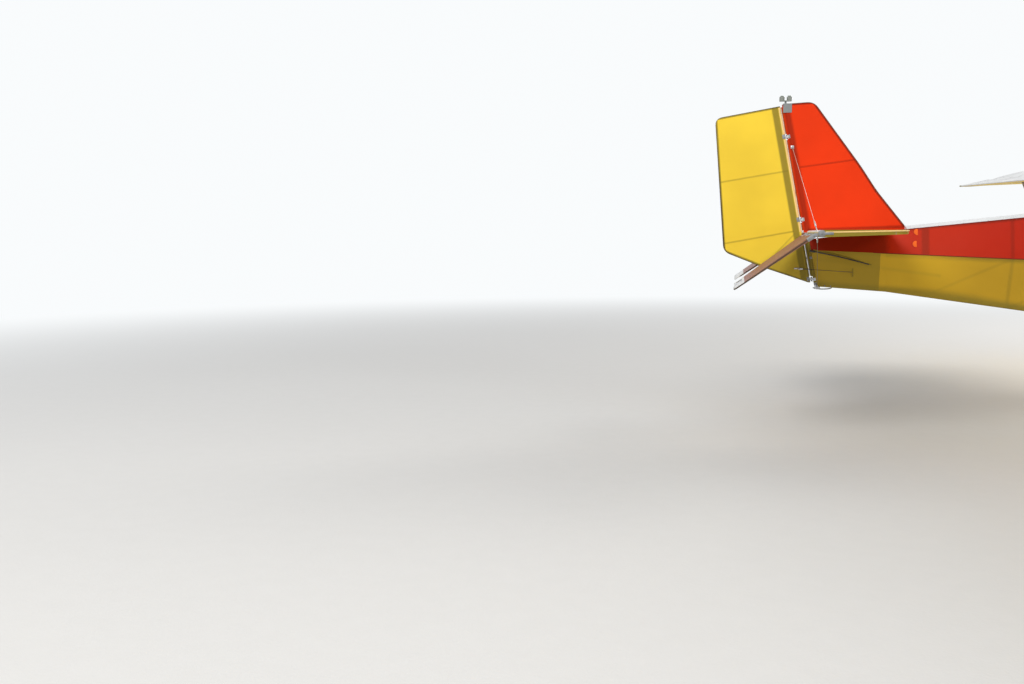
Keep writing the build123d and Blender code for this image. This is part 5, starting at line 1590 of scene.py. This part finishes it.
def circle_line(centre, radius, steps=36, axis="X"):
    """Points of a circle about a centre, square to an axis."""
    points = []
    for step in range(steps):
        turn = 2 * math.pi * step / steps
        a, b = radius * math.cos(turn), radius * math.sin(turn)
        offset = {"X": (0, a, b), "Y": (a, 0, b), "Z": (a, b, 0)}[axis]
        points.append(Vector(centre) + Vector(offset))
    return points


INTAKE_X, INTAKE_Y, INTAKE_Z, INTAKE_RADIUS = 2.560, 0.125, 1.145, 0.045
rings, mesh_wires = [], []
for hand in (1, -1):
    centre = Vector((INTAKE_X, hand * INTAKE_Y, INTAKE_Z))
    rings.append(bent_tube(circle_line(centre, INTAKE_RADIUS + 0.001), 0.008, closed=True))
    for step in range(-3, 4):
        offset = step * 0.012
        reach = math.sqrt(INTAKE_RADIUS**2 - offset**2)
        behind = centre + ahead(-0.004)
        for middle, half in ((sideways(offset), upwards(reach)), (upwards(offset), sideways(reach))):
            mesh_wires.append(rod_about(behind + middle, half, 0.0016, 6))
dress_all(rings, "intake_rings", aluminium, "airframe")
dress_all(mesh_wires, "intake_mesh", steel, "airframe")

louvres, louvre_gaps = [], []
for hand in (1, -1):
    for step in range(6):
        x = 1.760 + step * 0.034
        ends = [on_surface("cowl_lower", (x, hand, z), (0, -hand, 0))[0] for z in (0.965, 1.065)]
        louvres.append(rod(ends[0], ends[1], 0.0105, 12, 0.002))
        back = ahead(-0.0055)
        louvre_gaps.append(rod(ends[0] + back, ends[1] + back, 0.0050, 8))
dress_all(louvres, "cowl_louvres", yellow_gelcoat, "airframe")
dress_all(louvre_gaps, "louvre_gaps", black_plastic, "airframe")

pipe_end, pipe_way = Vector((1.930, -0.150, 0.640)), Vector((-0.090, -0.040, -0.160)).normalized()
lip = bent_tube([pipe_end + p for p in circle_line((0, 0, 0), 0.0195, 28, "Z")], 0.0045, closed=True)
lip.data.transform(Matrix.Translation(pipe_end) @ along(pipe_way) @ Matrix.Translation(-pipe_end))
collar = rod(pipe_end - pipe_way * 0.050, pipe_end - pipe_way * 0.036, 0.0475, 28, 0.001)
soot = rod(pipe_end - pipe_way * 0.002, pipe_end + pipe_way * 0.0008, 0.035, 28)
dress_all([lip, collar], "exhaust_lip", dark_steel, "airframe")
dress_all([soot], "exhaust_soot", black_plastic, "airframe")

# %% [markdown]
# The spinner is held by screws through its rim into a back plate, which turns with the propeller.

# %% Spinner screws and back plate
spinner_bits = [rod((2.5800, 0, PROP_Z), (2.5868, 0, PROP_Z), 0.2405, 64, 0.001)]
for step in range(9):
    turn = math.radians(10 + step * 40)
    radial = Vector((0, math.cos(turn), math.sin(turn)))
    place, normal = on_surface("spinner", Vector((2.600, 0, PROP_Z)) + radial * 0.5, -radial)
    spinner_bits.append(bolt(place, normal, 0.55))
dress_all(spinner_bits, "spinner_fittings", steel, "propeller")

# %% [markdown]
# ## Wheels
#
# A tyre is its cross-section spun about the axle: rounded sidewalls with a bead, and a crowned tread with
# three grooves. It replaces the plain solid tyre and rides on its wheel.

# %% Tyres with grooves
TYRE_RADIUS, TYRE_HALF, BEAD_RADIUS = 0.170, 0.048, 0.0852
GROOVES = (-0.021, 0.0, 0.021)
GROOVE_HALF, GROOVE_DEPTH = 0.0024, 0.0045
WHEELS = (
    ("left", (0.480, 0.800, 0.170), "wheel_left"),
    ("right", (0.480, -0.800, 0.170), "wheel_right"),
    ("nose", (1.960, 0.0, 0.170), "nose_wheel"),
)


def tread_radius(y):
    """The tyre's radius across its crowned tread."""
    return TYRE_RADIUS - 0.012 * (y / (0.78 * TYRE_HALF)) ** 2


def tyre_profile():
    """(y, radius) points from one bead over the tread to the other."""
    left = [
        (-0.0346, BEAD_RADIUS),
        (-0.0468, 0.1130),
        (-TYRE_HALF, 0.1275),
        (-0.0446, 0.1465),
        (-0.0375, 0.1585),
    ]
    middle = []
    for y in GROOVES:
        for offset, depth in ((-1.35, 0), (-1, GROOVE_DEPTH), (1, GROOVE_DEPTH), (1.35, 0)):
            at = y + offset * GROOVE_HALF
            middle.append((at, tread_radius(at) - depth))
    return left + middle + [(-y, radius) for y, radius in reversed(left)]


def make_tyre(centre):
    centre = Vector(centre)
    points = [centre + Vector((0, y, radius)) for y, radius in tyre_profile()]
    mesh = bpy.data.meshes.new("tyre")
    edges = [(i, (i + 1) % len(points)) for i in range(len(points))]
    mesh.from_pydata(points, edges, [])
    piece = bpy.data.objects.new("tyre", mesh)
    bpy.context.scene.collection.objects.link(piece)
    take(piece)
    bpy.ops.object.mode_set(mode="EDIT")
    bpy.ops.mesh.select_all(action="SELECT")
    cage = bmesh.from_edit_mesh(mesh)
    bmesh.ops.spin(
        cage,
        geom=cage.verts[:] + cage.edges[:],
        cent=centre,
        axis=(0, 1, 0),
        angle=2 * math.pi,
        steps=44,
        use_duplicate=False,
    )
    bmesh.ops.remove_doubles(cage, verts=cage.verts[:], dist=0.00005)
    bmesh.ops.recalc_face_normals(cage, faces=cage.faces[:])
    bmesh.update_edit_mesh(mesh)
    leave_edit()
    return piece


tyre_triangles = 0
for place, centre, body in WHEELS:
    tyre = dress_all([make_tyre(centre)], "grooved_tyre_" + place, tyre_rubber, body, 50)
    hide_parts("tyre_" + place)
    tyre_triangles += sum(len(face.vertices) - 2 for face in tyre.data.polygons)
print("tyre triangles", tyre_triangles)

# %% [markdown]
# Six bolts hold the two halves of each rim together, and a valve stands in its dish. Each main wheel has a
# brake disc in its inner dish; the calliper that grips it is bolted to the gear's bow, which doesn't turn.

# %% Rim bolts, valves and brakes
for place, centre, body in WHEELS:
    centre = Vector(centre)
    rim_bits = []
    for step in range(6):
        turn = math.radians(step * 60)
        radial = Vector((math.cos(turn), 0, math.sin(turn))) * 0.048
        for hand in (1, -1):
            rim_bits.append(bolt(centre + radial + sideways(hand * 0.008), (0, hand, 0), 0.8))
    hand = -1 if place == "right" else 1
    valve = centre + Vector((0.0, hand * 0.008, 0.061))
    rim_bits.append(rod(valve, valve + Vector((0, hand * 0.022, 0.002)), 0.0075, 12, 0.001))
    if place != "nose":
        disc_inner, disc_outer = centre - sideways(hand * 0.0225), centre - sideways(hand * 0.0185)
        rim_bits.append(rod(disc_inner, disc_outer, 0.116, 48, 0.0008))
    dress_all(rim_bits, "rim_fittings_" + place, steel, body)


def brake_parts(hand):
    """Calliper, its bracket on the bow, the hose up the leg and the axle nut."""
    bits = [
        block((0.520, hand * 0.7598, 0.170), (0.050, 0.0060, 0.036), 0.0015),
        block((0.5310, hand * 0.7695, 0.170), (0.024, 0.0140, 0.034), 0.003, 3),
        block((0.5445, hand * 0.7750, 0.170), (0.0040, 0.0240, 0.032), 0.001),
        block((0.5350, hand * 0.7852, 0.170), (0.017, 0.0040, 0.030), 0.001),
    ]
    bits.append(bolt((0.480, hand * 0.8499, 0.170), (0, hand, 0), 2.4))
    bits += bolts([((0.505, hand * 0.7628, z), (0, hand, 0)) for z in (0.160, 0.180)], 0.5)
    return bits


dress_all(both_sides(brake_parts), "brake_callipers", cast_metal, "airframe")


def brake_hose(hand):
    line = [
        (0.512, 0.7625, 0.188),
        (0.462, 0.7640, 0.222),
        (0.4400, 0.7400, 0.250),
        (0.4430, 0.7000, 0.285),
        (0.4800, 0.3400, 0.668),
        (0.4800, 0.3000, 0.712),
    ]
    return [bent_tube(open_corners(to_hand(line, hand), 0.030), 0.0055)]


dress_all(both_sides(brake_hose), "brake_hoses", black_plastic, "airframe")

# Clamp plates hold the bow to the belly, and caps close the nose fork's crown
BOW_TOP_X = 0.532
gear_bits = []
for hand in (1, -1):
    for y in (0.120, 0.265):
        place, normal = on_surface("main_gear_bow", (BOW_TOP_X, hand * y, 0.3), (0, 0, 1))
        gear_bits.append(
            block(place + normal * 0.002, (0.104, 0.050, 0.006), 0.0015, 2, (0, math.radians(5.65), 0))
        )
        for x in (-0.0365, 0.0365):
            gear_bits.append(bolt(place + normal * 0.005 + Vector((x, 0, -x * 0.099)), normal, 1.0))
dress_all(gear_bits, "bow_clamps", steel, "airframe")
fork_bits = []
CROWN = Vector((1.8753, 0, 0.405))
AXLE = Vector((1.960, 0, 0.170))
for hand in (1, -1):
    fork_bits.append(bolt(CROWN + sideways(hand * 0.0870), (0, hand, 0), 1.6))
    leg = AXLE - CROWN
    for share in (0.12, 0.80):
        spot = CROWN + sideways(hand * 0.071) + leg * share
        way = leg.normalized()
        fork_bits.append(rod_about(spot, way * 0.007, 0.0295, 24, 0.001))
dress_all(fork_bits, "nose_fork_fittings", steel, "nose_leg")
# %% [markdown]
# ## Wings and struts
#
# A point on a wing is given by its distance out along the span, back along the chord and up from the flat
# underside, in the wing's own tilted frame. The top follows an ellipse to the crest and an arc behind it,
# so pockets for the battens can be laid on it as thin raised tubes.

# %% Batten pockets, tips and edge bindings
WING_ORIGIN = Vector((1.240, 0.425, 1.8349))
INCIDENCE, DIHEDRAL = math.radians(2.0), math.radians(1.5)
SPAN_WAY = Vector((0, math.cos(DIHEDRAL), math.sin(DIHEDRAL)))
CHORD_WAY = Vector((-math.cos(INCIDENCE), 0, -math.sin(INCIDENCE)))
WING_UP = SPAN_WAY.cross(CHORD_WAY)
CREST_BACK, CREST_HEIGHT, NOSE_HEIGHT, ARC_RADIUS = 0.430, 0.172, 0.062, 2.612
BATTENS = 13
BATTEN_STATIONS = (0.035, 0.09, 0.17, 0.27, 0.38, 0.50, 0.65, 0.80, 0.95, 1.08, 1.172)
ROOT_STATIONS = (0.004, 0.02, 0.06, 0.13, 0.25, 0.43, 0.65, 0.90, 1.176)
SLEEVE_SEAM = 0.130


def on_wing(span, back, height, hand):
    point = WING_ORIGIN + SPAN_WAY * span + CHORD_WAY * back + WING_UP * height
    return Vector((point.x, hand * point.y, point.z))


def top_of_wing(back):
    """Height of the wing's top above its flat underside."""
    if back < CREST_BACK:
        climb = math.sqrt(1 - ((back - CREST_BACK) / CREST_BACK) ** 2)
        return NOSE_HEIGHT + (CREST_HEIGHT - NOSE_HEIGHT) * climb
    return CREST_HEIGHT - ARC_RADIUS + math.sqrt(ARC_RADIUS**2 - (back - CREST_BACK) ** 2)


def over_wing(span, stations, hand, sunk=0.0):
    """A line over the wing's top at one distance out along the span."""
    return [on_wing(span, back, top_of_wing(back) - sunk, hand) for back in stations]


def batten_pockets(hand):
    pieces = []
    for step in range(1, BATTENS + 1):
        pocket_line = over_wing(step * BATTEN_PITCH, BATTEN_STATIONS, hand, 0.0008)
        pieces.append(bent_tube(pocket_line, 0.0060, sides=2))
    # The sleeve's seam behind the nose tube and the tape over the root joint
    seam = [over_wing(span, (SLEEVE_SEAM,), hand)[0] for span in (0.010, 4.17)]
    pieces.append(bent_tube(seam, 0.0045, sides=2))
    pieces.append(bent_tube(over_wing(0, ROOT_STATIONS, hand), 0.008, sides=2))
    return pieces


white_binding = sailcloth("white_binding_cloth", (0.78, 0.78, 0.77))
dress_all(both_sides(batten_pockets), "batten_pockets", white_binding, "airframe")


def tip_binding(hand):
    outline = (
        (4.176, 0.004, 0.034),
        (4.268, 0.052, 0.024),
        (4.3235, 0.184, 0.012),
        (4.3262, 0.300, 0.016),
        (4.3262, 0.515, 0.020),
        (4.3262, 1.100, 0.011),
        (4.3235, 1.345, 0.003),
        (4.268, 1.442, 0.004),
        (4.176, 1.498, 0.004),
        (4.088, 1.499, 0.004),
    )
    line = [on_wing(span, back, height, hand) for span, back, height in outline]
    return [bent_tube(open_corners(line, 0.030), 0.014)]


dress_all(both_sides(tip_binding), "wing_tip_binding", olive_binding_and_shade, "airframe")

for hand, name in HANDS:
    for surface, inner, outer in (("flap", 0.027, 2.432), ("aileron", 2.442, 4.078)):
        edge = [on_wing(span, 1.4995, 0.004, hand) for span in (inner, outer)]
        pieces = [bent_tube(edge, 0.0095)]
        ribs = round((outer - inner) / BATTEN_PITCH)
        for step in range(ribs + 1):
            span = inner + 0.004 + (outer - inner - 0.008) * step / ribs
            top_line = [on_wing(span, 1.225, 0.0602, hand), on_wing(span, 1.494, 0.0085, hand)]
            pieces.append(bent_tube(top_line, 0.0050, sides=2))
        dress_all(pieces, f"{surface}_tapes_{name}", white_binding, f"{surface}_{name}")

# %% [markdown]
# The struts are streamlined tubes. At each end a cuff closes the tube over a fork, whose bolt can be taken
# out to fold the wing. Smaller clamps hold the jury struts. The underside also carries the pitot tube.

# %% Strut cuffs, clamps and the pitot tube
STRUTS = ((0.265, 1.060), (0.335, 0.370))
STRUT_SPAN, JURY_SHARE = 2.250, 0.58


def wing_plate(centre, size, bevel, hand):
    """A small block that lies square to the wing's flat underside."""
    return block(centre, size, bevel, 2, (hand * DIHEDRAL, INCIDENCE, 0))


def strut_ends(foot_x, back, hand):
    return Vector((foot_x, hand * 0.368, 0.760)), on_wing(STRUT_SPAN, back, 0, hand)


def strut_fittings(hand):
    pieces = []
    for foot_x, back in STRUTS:
        foot, head = strut_ends(foot_x, back, hand)
        way = (head - foot).normalized()
        outward = way.cross(ahead(1)) * -hand
        outward = outward.normalized() * (1 if outward.y * hand > 0 else -1)
        cuffs = ((foot + way * 0.030, foot + way * 0.130), (head - way * 0.150, head - way * 0.050))
        for start, end in cuffs:
            pieces.append(sheet_strip(start, end, 0.0655, 0.0275, outward))
            for share in (0.25, 0.75):
                spot = start.lerp(end, share)
                pieces += bolt_pair(spot, outward, 0.0138, 0.85)
        low = foot.lerp(head, JURY_SHARE)
        pieces.append(sheet_strip(low - way * 0.014, low + way * 0.014, 0.0650, 0.0270, outward))
        pieces.append(bolt(low - outward * 0.0136, -outward, 0.7))
        for span, length, width in ((STRUT_SPAN * JURY_SHARE, 0.060, 0.034), (STRUT_SPAN, 0.120, 0.060)):
            centre = on_wing(span, back, 0, hand) - upwards(0.004)
            pieces.append(wing_plate(centre, (length, width, 0.006), 0.0015, hand))
        # Plate on the fuselage's lower side
        wall_way = Vector((0, hand, -0.40)).normalized()
        pieces.append(rod(foot - wall_way * 0.004, foot + wall_way * 0.003, 0.088, 36, 0.001))
        for x in (-0.037, 0.037):
            spot = foot + ahead(x) + wall_way * 0.003
            if abs(spot.x - 0.300) > 0.030:
                pieces.append(bolt(spot, wall_way, 0.7))
    return pieces


dress_all(both_sides(strut_fittings), "strut_fittings", aluminium, "airframe")

pitot_base = on_wing(2.90, 0.150, 0.002, 1)
pitot_low = pitot_base + Vector((0.010, 0, -0.075))
pitot_line = [pitot_base, pitot_low, pitot_low + Vector((0.190, 0, 0.004))]
pitot = [
    bent_tube(open_corners(pitot_line, 0.030), 0.0095),
    wing_plate(pitot_base - upwards(0.003), (0.050, 0.030, 0.005), 0.001, 1),
]
dress_all(pitot, "pitot_tube", aluminium, "airframe")

# %% [markdown]
# Each aileron and each flap has a horn below its nose and a push rod that comes out of the wing.

# %% Horns and push rods
for hand, name in HANDS:
    for surface, span in (("flap", 0.340), ("aileron", 2.640)):
        body = f"{surface}_{name}"
        root, tip = on_wing(span, 1.240, 0.004, hand), on_wing(span, 1.216, -0.058, hand)
        horn = [
            sheet_strip(root, tip + (tip - root).normalized() * 0.008, 0.030, 0.004, sideways(hand)),
            wing_plate(on_wing(span, 1.255, 0.0005, hand), (0.060, 0.030, 0.004), 0.001, hand),
        ]
        horn += bolt_pair(tip, sideways(hand), 0.002, 0.7)
        dress_all(horn, "horn_" + body, steel, body)
        start, end = on_wing(span, 0.880, -0.002, hand), tip - sideways(hand * 0.0105)
        tube = bent_tube(even_points(start, end, 16), 0.0095)
        push_rod = dress_all([tube], "push_rod_" + body, aluminium, None)
        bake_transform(push_rod)
        slot_ring = wing_plate(start, (0.060, 0.030, 0.004), 0.0015, hand)
        dress_all([slot_ring], "push_rod_slot_" + body, black_plastic, "airframe")

# %% [markdown]
# ## Cockpit
#
# Five dials sit in the panel's recesses with white marks and needles. The throttle is a push-pull knob
# under them, and a compass stands on the panel's edge. Nothing carries any lettering.

# %% Instruments, compass and tank caps
PANEL_X, DIAL_Z, SWITCH_Z = 1.500, 1.250, 1.168


def on_panel(centre, start, end, diameter, sides, rim=0.0):
    """A round part that runs ahead of or behind a point of the panel."""
    return rod(centre + ahead(start), centre + ahead(end), diameter, sides, rim)


marks, bezels, faces, glasses = [], [], [], []
for step in range(5):
    y = (step - 2) * 0.110
    centre = Vector((PANEL_X, y, DIAL_Z))
    faces.append(on_panel(centre, 0.0032, 0.0049, 0.0785, 36))
    bezels.append(bent_tube(circle_line(centre - ahead(0.0012), 0.0395, 32), 0.0045, closed=True))
    for mark in range(12):
        turn = 2 * math.pi * mark / 12
        spot = centre + Vector((0.0028, 0.031 * math.sin(turn), 0.031 * math.cos(turn)))
        marks.append(block(spot, (0.0008, 0.0016, 0.0075), turn=(-turn, 0, 0)))
    needle_turn = math.radians(200 + 37 * step)
    needle_way = Vector((0, math.sin(needle_turn), math.cos(needle_turn)))
    pivot = centre + ahead(0.002)
    marks.append(rod(pivot - needle_way * 0.006, pivot + needle_way * 0.027, 0.0022, 6, 0, 0.0008))
    marks.append(on_panel(centre, 0.0015, 0.003, 0.0065, 16))
    glasses.append(on_panel(centre, -0.0008, 0.0002, 0.0775, 36))
dress_all(faces, "dial_faces", black_plastic, "airframe")
dress_all(bezels, "dial_bezels", grey_plastic, "airframe")
dress_all(marks, "dial_marks", white_gelcoat, "airframe")
dress_all(glasses, "dial_glasses", glazing, "airframe")

switch_bits, knob_bits = [], []
for step in range(6):
    spot = Vector((PANEL_X, 0.130 + step * 0.032, SWITCH_Z))
    switch_bits.append(on_panel(spot, 0, -0.006, 0.012, 6, 0.0008))
    toggle_end = spot + Vector((-0.020, 0, -0.008))
    switch_bits.append(rod(spot - ahead(0.004), toggle_end, 0.0035, 10, 0.0008, 0.0055))
throttle = Vector((PANEL_X, -0.060, SWITCH_Z))
choke = Vector((PANEL_X, -0.150, SWITCH_Z))
switch_bits.append(on_panel(throttle, 0, -0.012, 0.020, 6, 0.001))
switch_bits.append(on_panel(throttle, 0, -0.055, 0.0075, 14))
switch_bits.append(on_panel(choke, 0, -0.028, 0.006, 12))
knob_bits.append(on_panel(throttle, -0.050, -0.075, 0.034, 28, 0.005))
knob_bits.append(on_panel(choke, -0.026, -0.042, 0.020, 24, 0.003))
knob_bits.append(block((1.5060, 0, 1.3440), (0.030, 0.034, 0.010), 0.002))
knob_bits.append(rod((1.4840, 0, 1.3700), (1.5280, 0, 1.3700), 0.046, 32, 0.007))
for y in (-0.090, 0.090):
    grip = Vector((1.155, y, 1.110))
    for ring in range(5):
        low = grip - Vector((0.0022 * ring + 0.0005, 0, 0.018 * ring + 0.010))
        knob_bits.append(bent_tube(circle_line(low, 0.0150, 20, "Z"), 0.0040, closed=True, sides=2))
dress_all(switch_bits, "panel_switches", steel, "airframe")
dress_all(knob_bits, "panel_knobs_and_compass", black_plastic, "airframe")

tank_bits = []
for y in (-0.170, 0.170):
    tank_bits.append(rod((0.315, y, 1.104), (0.315, y, 1.130), 0.070, 40, 0.004))
    tank_bits.append(bent_tube(circle_line((0.315, y, 1.113), 0.0350, 32, "Z"), 0.0055, closed=True))
    hose = [
        (0.350, y, 1.108),
        (0.350, y, 1.145),
        (0.405, y, 1.135),
        (0.405, y, 0.800),
        (0.405, y * 0.3, 0.755),
    ]
    tank_bits.append(bent_tube(open_corners(hose, 0.030), 0.0085))
dress_all(tank_bits, "tank_caps_and_hoses", black_plastic, "airframe")
# %% [markdown]
# ## Seats
#
# The seats are foam pads in cloth covers. One cushion and one back are swollen by a cloth simulation from a
# shape a little smaller than their solids, then sewn channels are drawn in across them. The second seat is
# a copy. Each pad is flat where it rests on its rails.

# %% Padded cushions and backs
PAD_CAP = 0.010
CHANNEL_DEPTH, CHANNEL_HALF = 0.007, 0.010


def swell(piece, flat_side):
    """Blow up a pad by cloth simulation, with a cap on how far a point may move and one side kept flat."""
    take(piece)
    piece.data.remesh_voxel_size = 0.008
    bpy.ops.object.voxel_remesh()
    rest = [vertex.co.copy() for vertex in piece.data.vertices]
    bpy.ops.object.modifier_add(type="CLOTH")
    cloth = piece.modifiers[-1]
    cloth.settings.use_pressure = True
    cloth.settings.uniform_pressure_force = 4.0
    cloth.settings.tension_stiffness = 12
    cloth.settings.effector_weights.gravity = 0
    cloth.point_cache.frame_start = 1
    cloth.point_cache.frame_end = 20
    for frame_number in range(1, 21):
        bpy.context.scene.frame_set(frame_number)
    bpy.ops.object.modifier_apply(modifier=cloth.name)
    bpy.context.scene.frame_set(1)
    for vertex, start in zip(piece.data.vertices, rest):
        move = vertex.co - start
        if move.length > PAD_CAP:
            move *= PAD_CAP / move.length
        away = move.dot(flat_side)
        if away > 0.001:
            move -= flat_side * (away - 0.001)
        vertex.co = start + move
    return piece


def sew_channels(piece, along_way, origin, places, face_way):
    """Draw the cloth in along straight seams across the pad's face."""
    for vertex in piece.data.vertices:
        distance = (vertex.co - origin).dot(along_way)
        depth = sum(math.exp(-(((distance - place) / CHANNEL_HALF) ** 2)) for place in places)
        facing = max(0.0, vertex.normal.dot(face_way))
        vertex.co -= face_way * (CHANNEL_DEPTH * depth * facing)
    return apply_modifier(piece, "SUBSURF", levels=1)


LEAN = math.radians(18)
BACK_UP = Vector((-math.sin(LEAN), 0, math.cos(LEAN)))
BACK_FRONT = Vector((math.cos(LEAN), 0, math.sin(LEAN)))
SEAT_Y = 0.190


def on_back(y, up, front):
    """A point on a seat's back, from the foot of its front face."""
    return Vector((0.598, y, 0.870)) + BACK_UP * up + BACK_FRONT * front


def make_pad(centre, size, turn, flat_side, along_way, places, name):
    pad = block(centre, size, 0.024, 4, turn)
    swell(pad, flat_side)
    sew_channels(pad, along_way, centre, places, -flat_side)
    pad.name = name
    return pad


seat_middle, seat_size = Vector((0.830, SEAT_Y, 0.9155)), (0.446, 0.316, 0.078)
back_middle, back_size = on_back(SEAT_Y, 0.310, -0.045), (0.068, 0.316, 0.546)
seat_channels, back_channels = (-0.11, 0.0, 0.11), (-0.16, -0.05, 0.06, 0.17)
cushion = make_pad(
    seat_middle, seat_size, (0, 0, 0), upwards(-1), ahead(1), seat_channels, "seat_pad_left"
)
back = make_pad(
    back_middle, back_size, (0, -LEAN, 0), -BACK_FRONT, BACK_UP, back_channels, "back_pad_left"
)
pads = [cushion, back, mirrored(cushion, "seat_pad_right"), mirrored(back, "back_pad_right")]
for pad in pads:
    dress(pad, seat_cloth, "airframe", 60)
    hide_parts("seat_cushions" if pad.name.startswith("seat") else "seat_backs")

# %% [markdown]
# Each seat has a four-point harness: two shoulder straps that come over the back, two lap straps from the
# rails and a buckle where they meet. A strap is flat webbing along a bent line.

# %% Harnesses
WEBBING_THICK = 0.0022


def webbing(points, width, across):
    """Flat webbing along a line; across is the direction of its width."""
    line = open_corners([Vector(p) for p in points], 0.035, 5)
    across = Vector(across).normalized()
    corners, faces = [], []
    for i, point in enumerate(line):
        way = (line[min(i + 1, len(line) - 1)] - line[max(i - 1, 0)]).normalized()
        wide = (across - way * across.dot(way)).normalized()
        normal = way.cross(wide).normalized() * WEBBING_THICK / 2
        wide = wide * width / 2
        corners += [
            point - wide - normal, point + wide - normal, point + wide + normal, point - wide + normal
        ]
    for i in range(len(line) - 1):
        for side_index in range(4):
            a, b = 4 * i + side_index, 4 * i + (side_index + 1) % 4
            faces.append((a, b, b + 4, a + 4))
    last = 4 * (len(line) - 1)
    faces += [(3, 2, 1, 0), (last, last + 1, last + 2, last + 3)]
    mesh = bpy.data.meshes.new("webbing")
    mesh.from_pydata([tuple(c) for c in corners], [], faces)
    piece = bpy.data.objects.new("webbing", mesh)
    bpy.context.scene.collection.objects.link(piece)
    return recalculate(piece)


strap_cloth = sailcloth("webbing_cloth", (0.045, 0.075, 0.20), "YZ")
straps, buckles = [], []
for seat_y in (-SEAT_Y, SEAT_Y):
    buckle = Vector((0.745, seat_y, 0.9790))
    for hand in (-1, 1):
        y = seat_y + hand * 0.070
        shoulder = [
            on_back(y, 0.430, -0.1060),
            on_back(y, 0.612, -0.1000),
            on_back(y, 0.618, -0.0200),
            on_back(y, 0.560, 0.0100),
            on_back(y, 0.300, 0.0160),
            on_back(seat_y + hand * 0.040, 0.130, 0.0300),
            buckle + Vector((-0.022, hand * 0.014, 0.004)),
        ]
        straps.append(webbing(shoulder, 0.044, (0, 1, 0)))
        lap = [
            (0.640, seat_y + hand * 0.1735, 0.905),
            (0.655, seat_y + hand * 0.1735, 0.955),
            (0.690, seat_y + hand * 0.130, 0.9785),
            tuple(buckle + Vector((-0.004, hand * 0.030, 0.001))),
        ]
        straps.append(webbing(lap, 0.044, (1, 0, 0)))
        adjuster = on_back(y, 0.420, 0.0150)
        buckles.append(
            sheet_strip(adjuster - BACK_UP * 0.016, adjuster + BACK_UP * 0.016, 0.052, 0.005, BACK_FRONT)
        )
    buckles.append(rod(buckle - upwards(0.006), buckle + upwards(0.012), 0.058, 36, 0.004))
    buckles.append(block(buckle + upwards(0.015), (0.040, 0.016, 0.008), 0.003, 3))
dress_all(straps, "harness_straps", strap_cloth, "airframe")
dress_all(buckles, "harness_buckles", steel, "airframe")

# %% Finish
start_clean()
bpy.data.objects.remove(bolt_model)
print("pieces made", len(made))
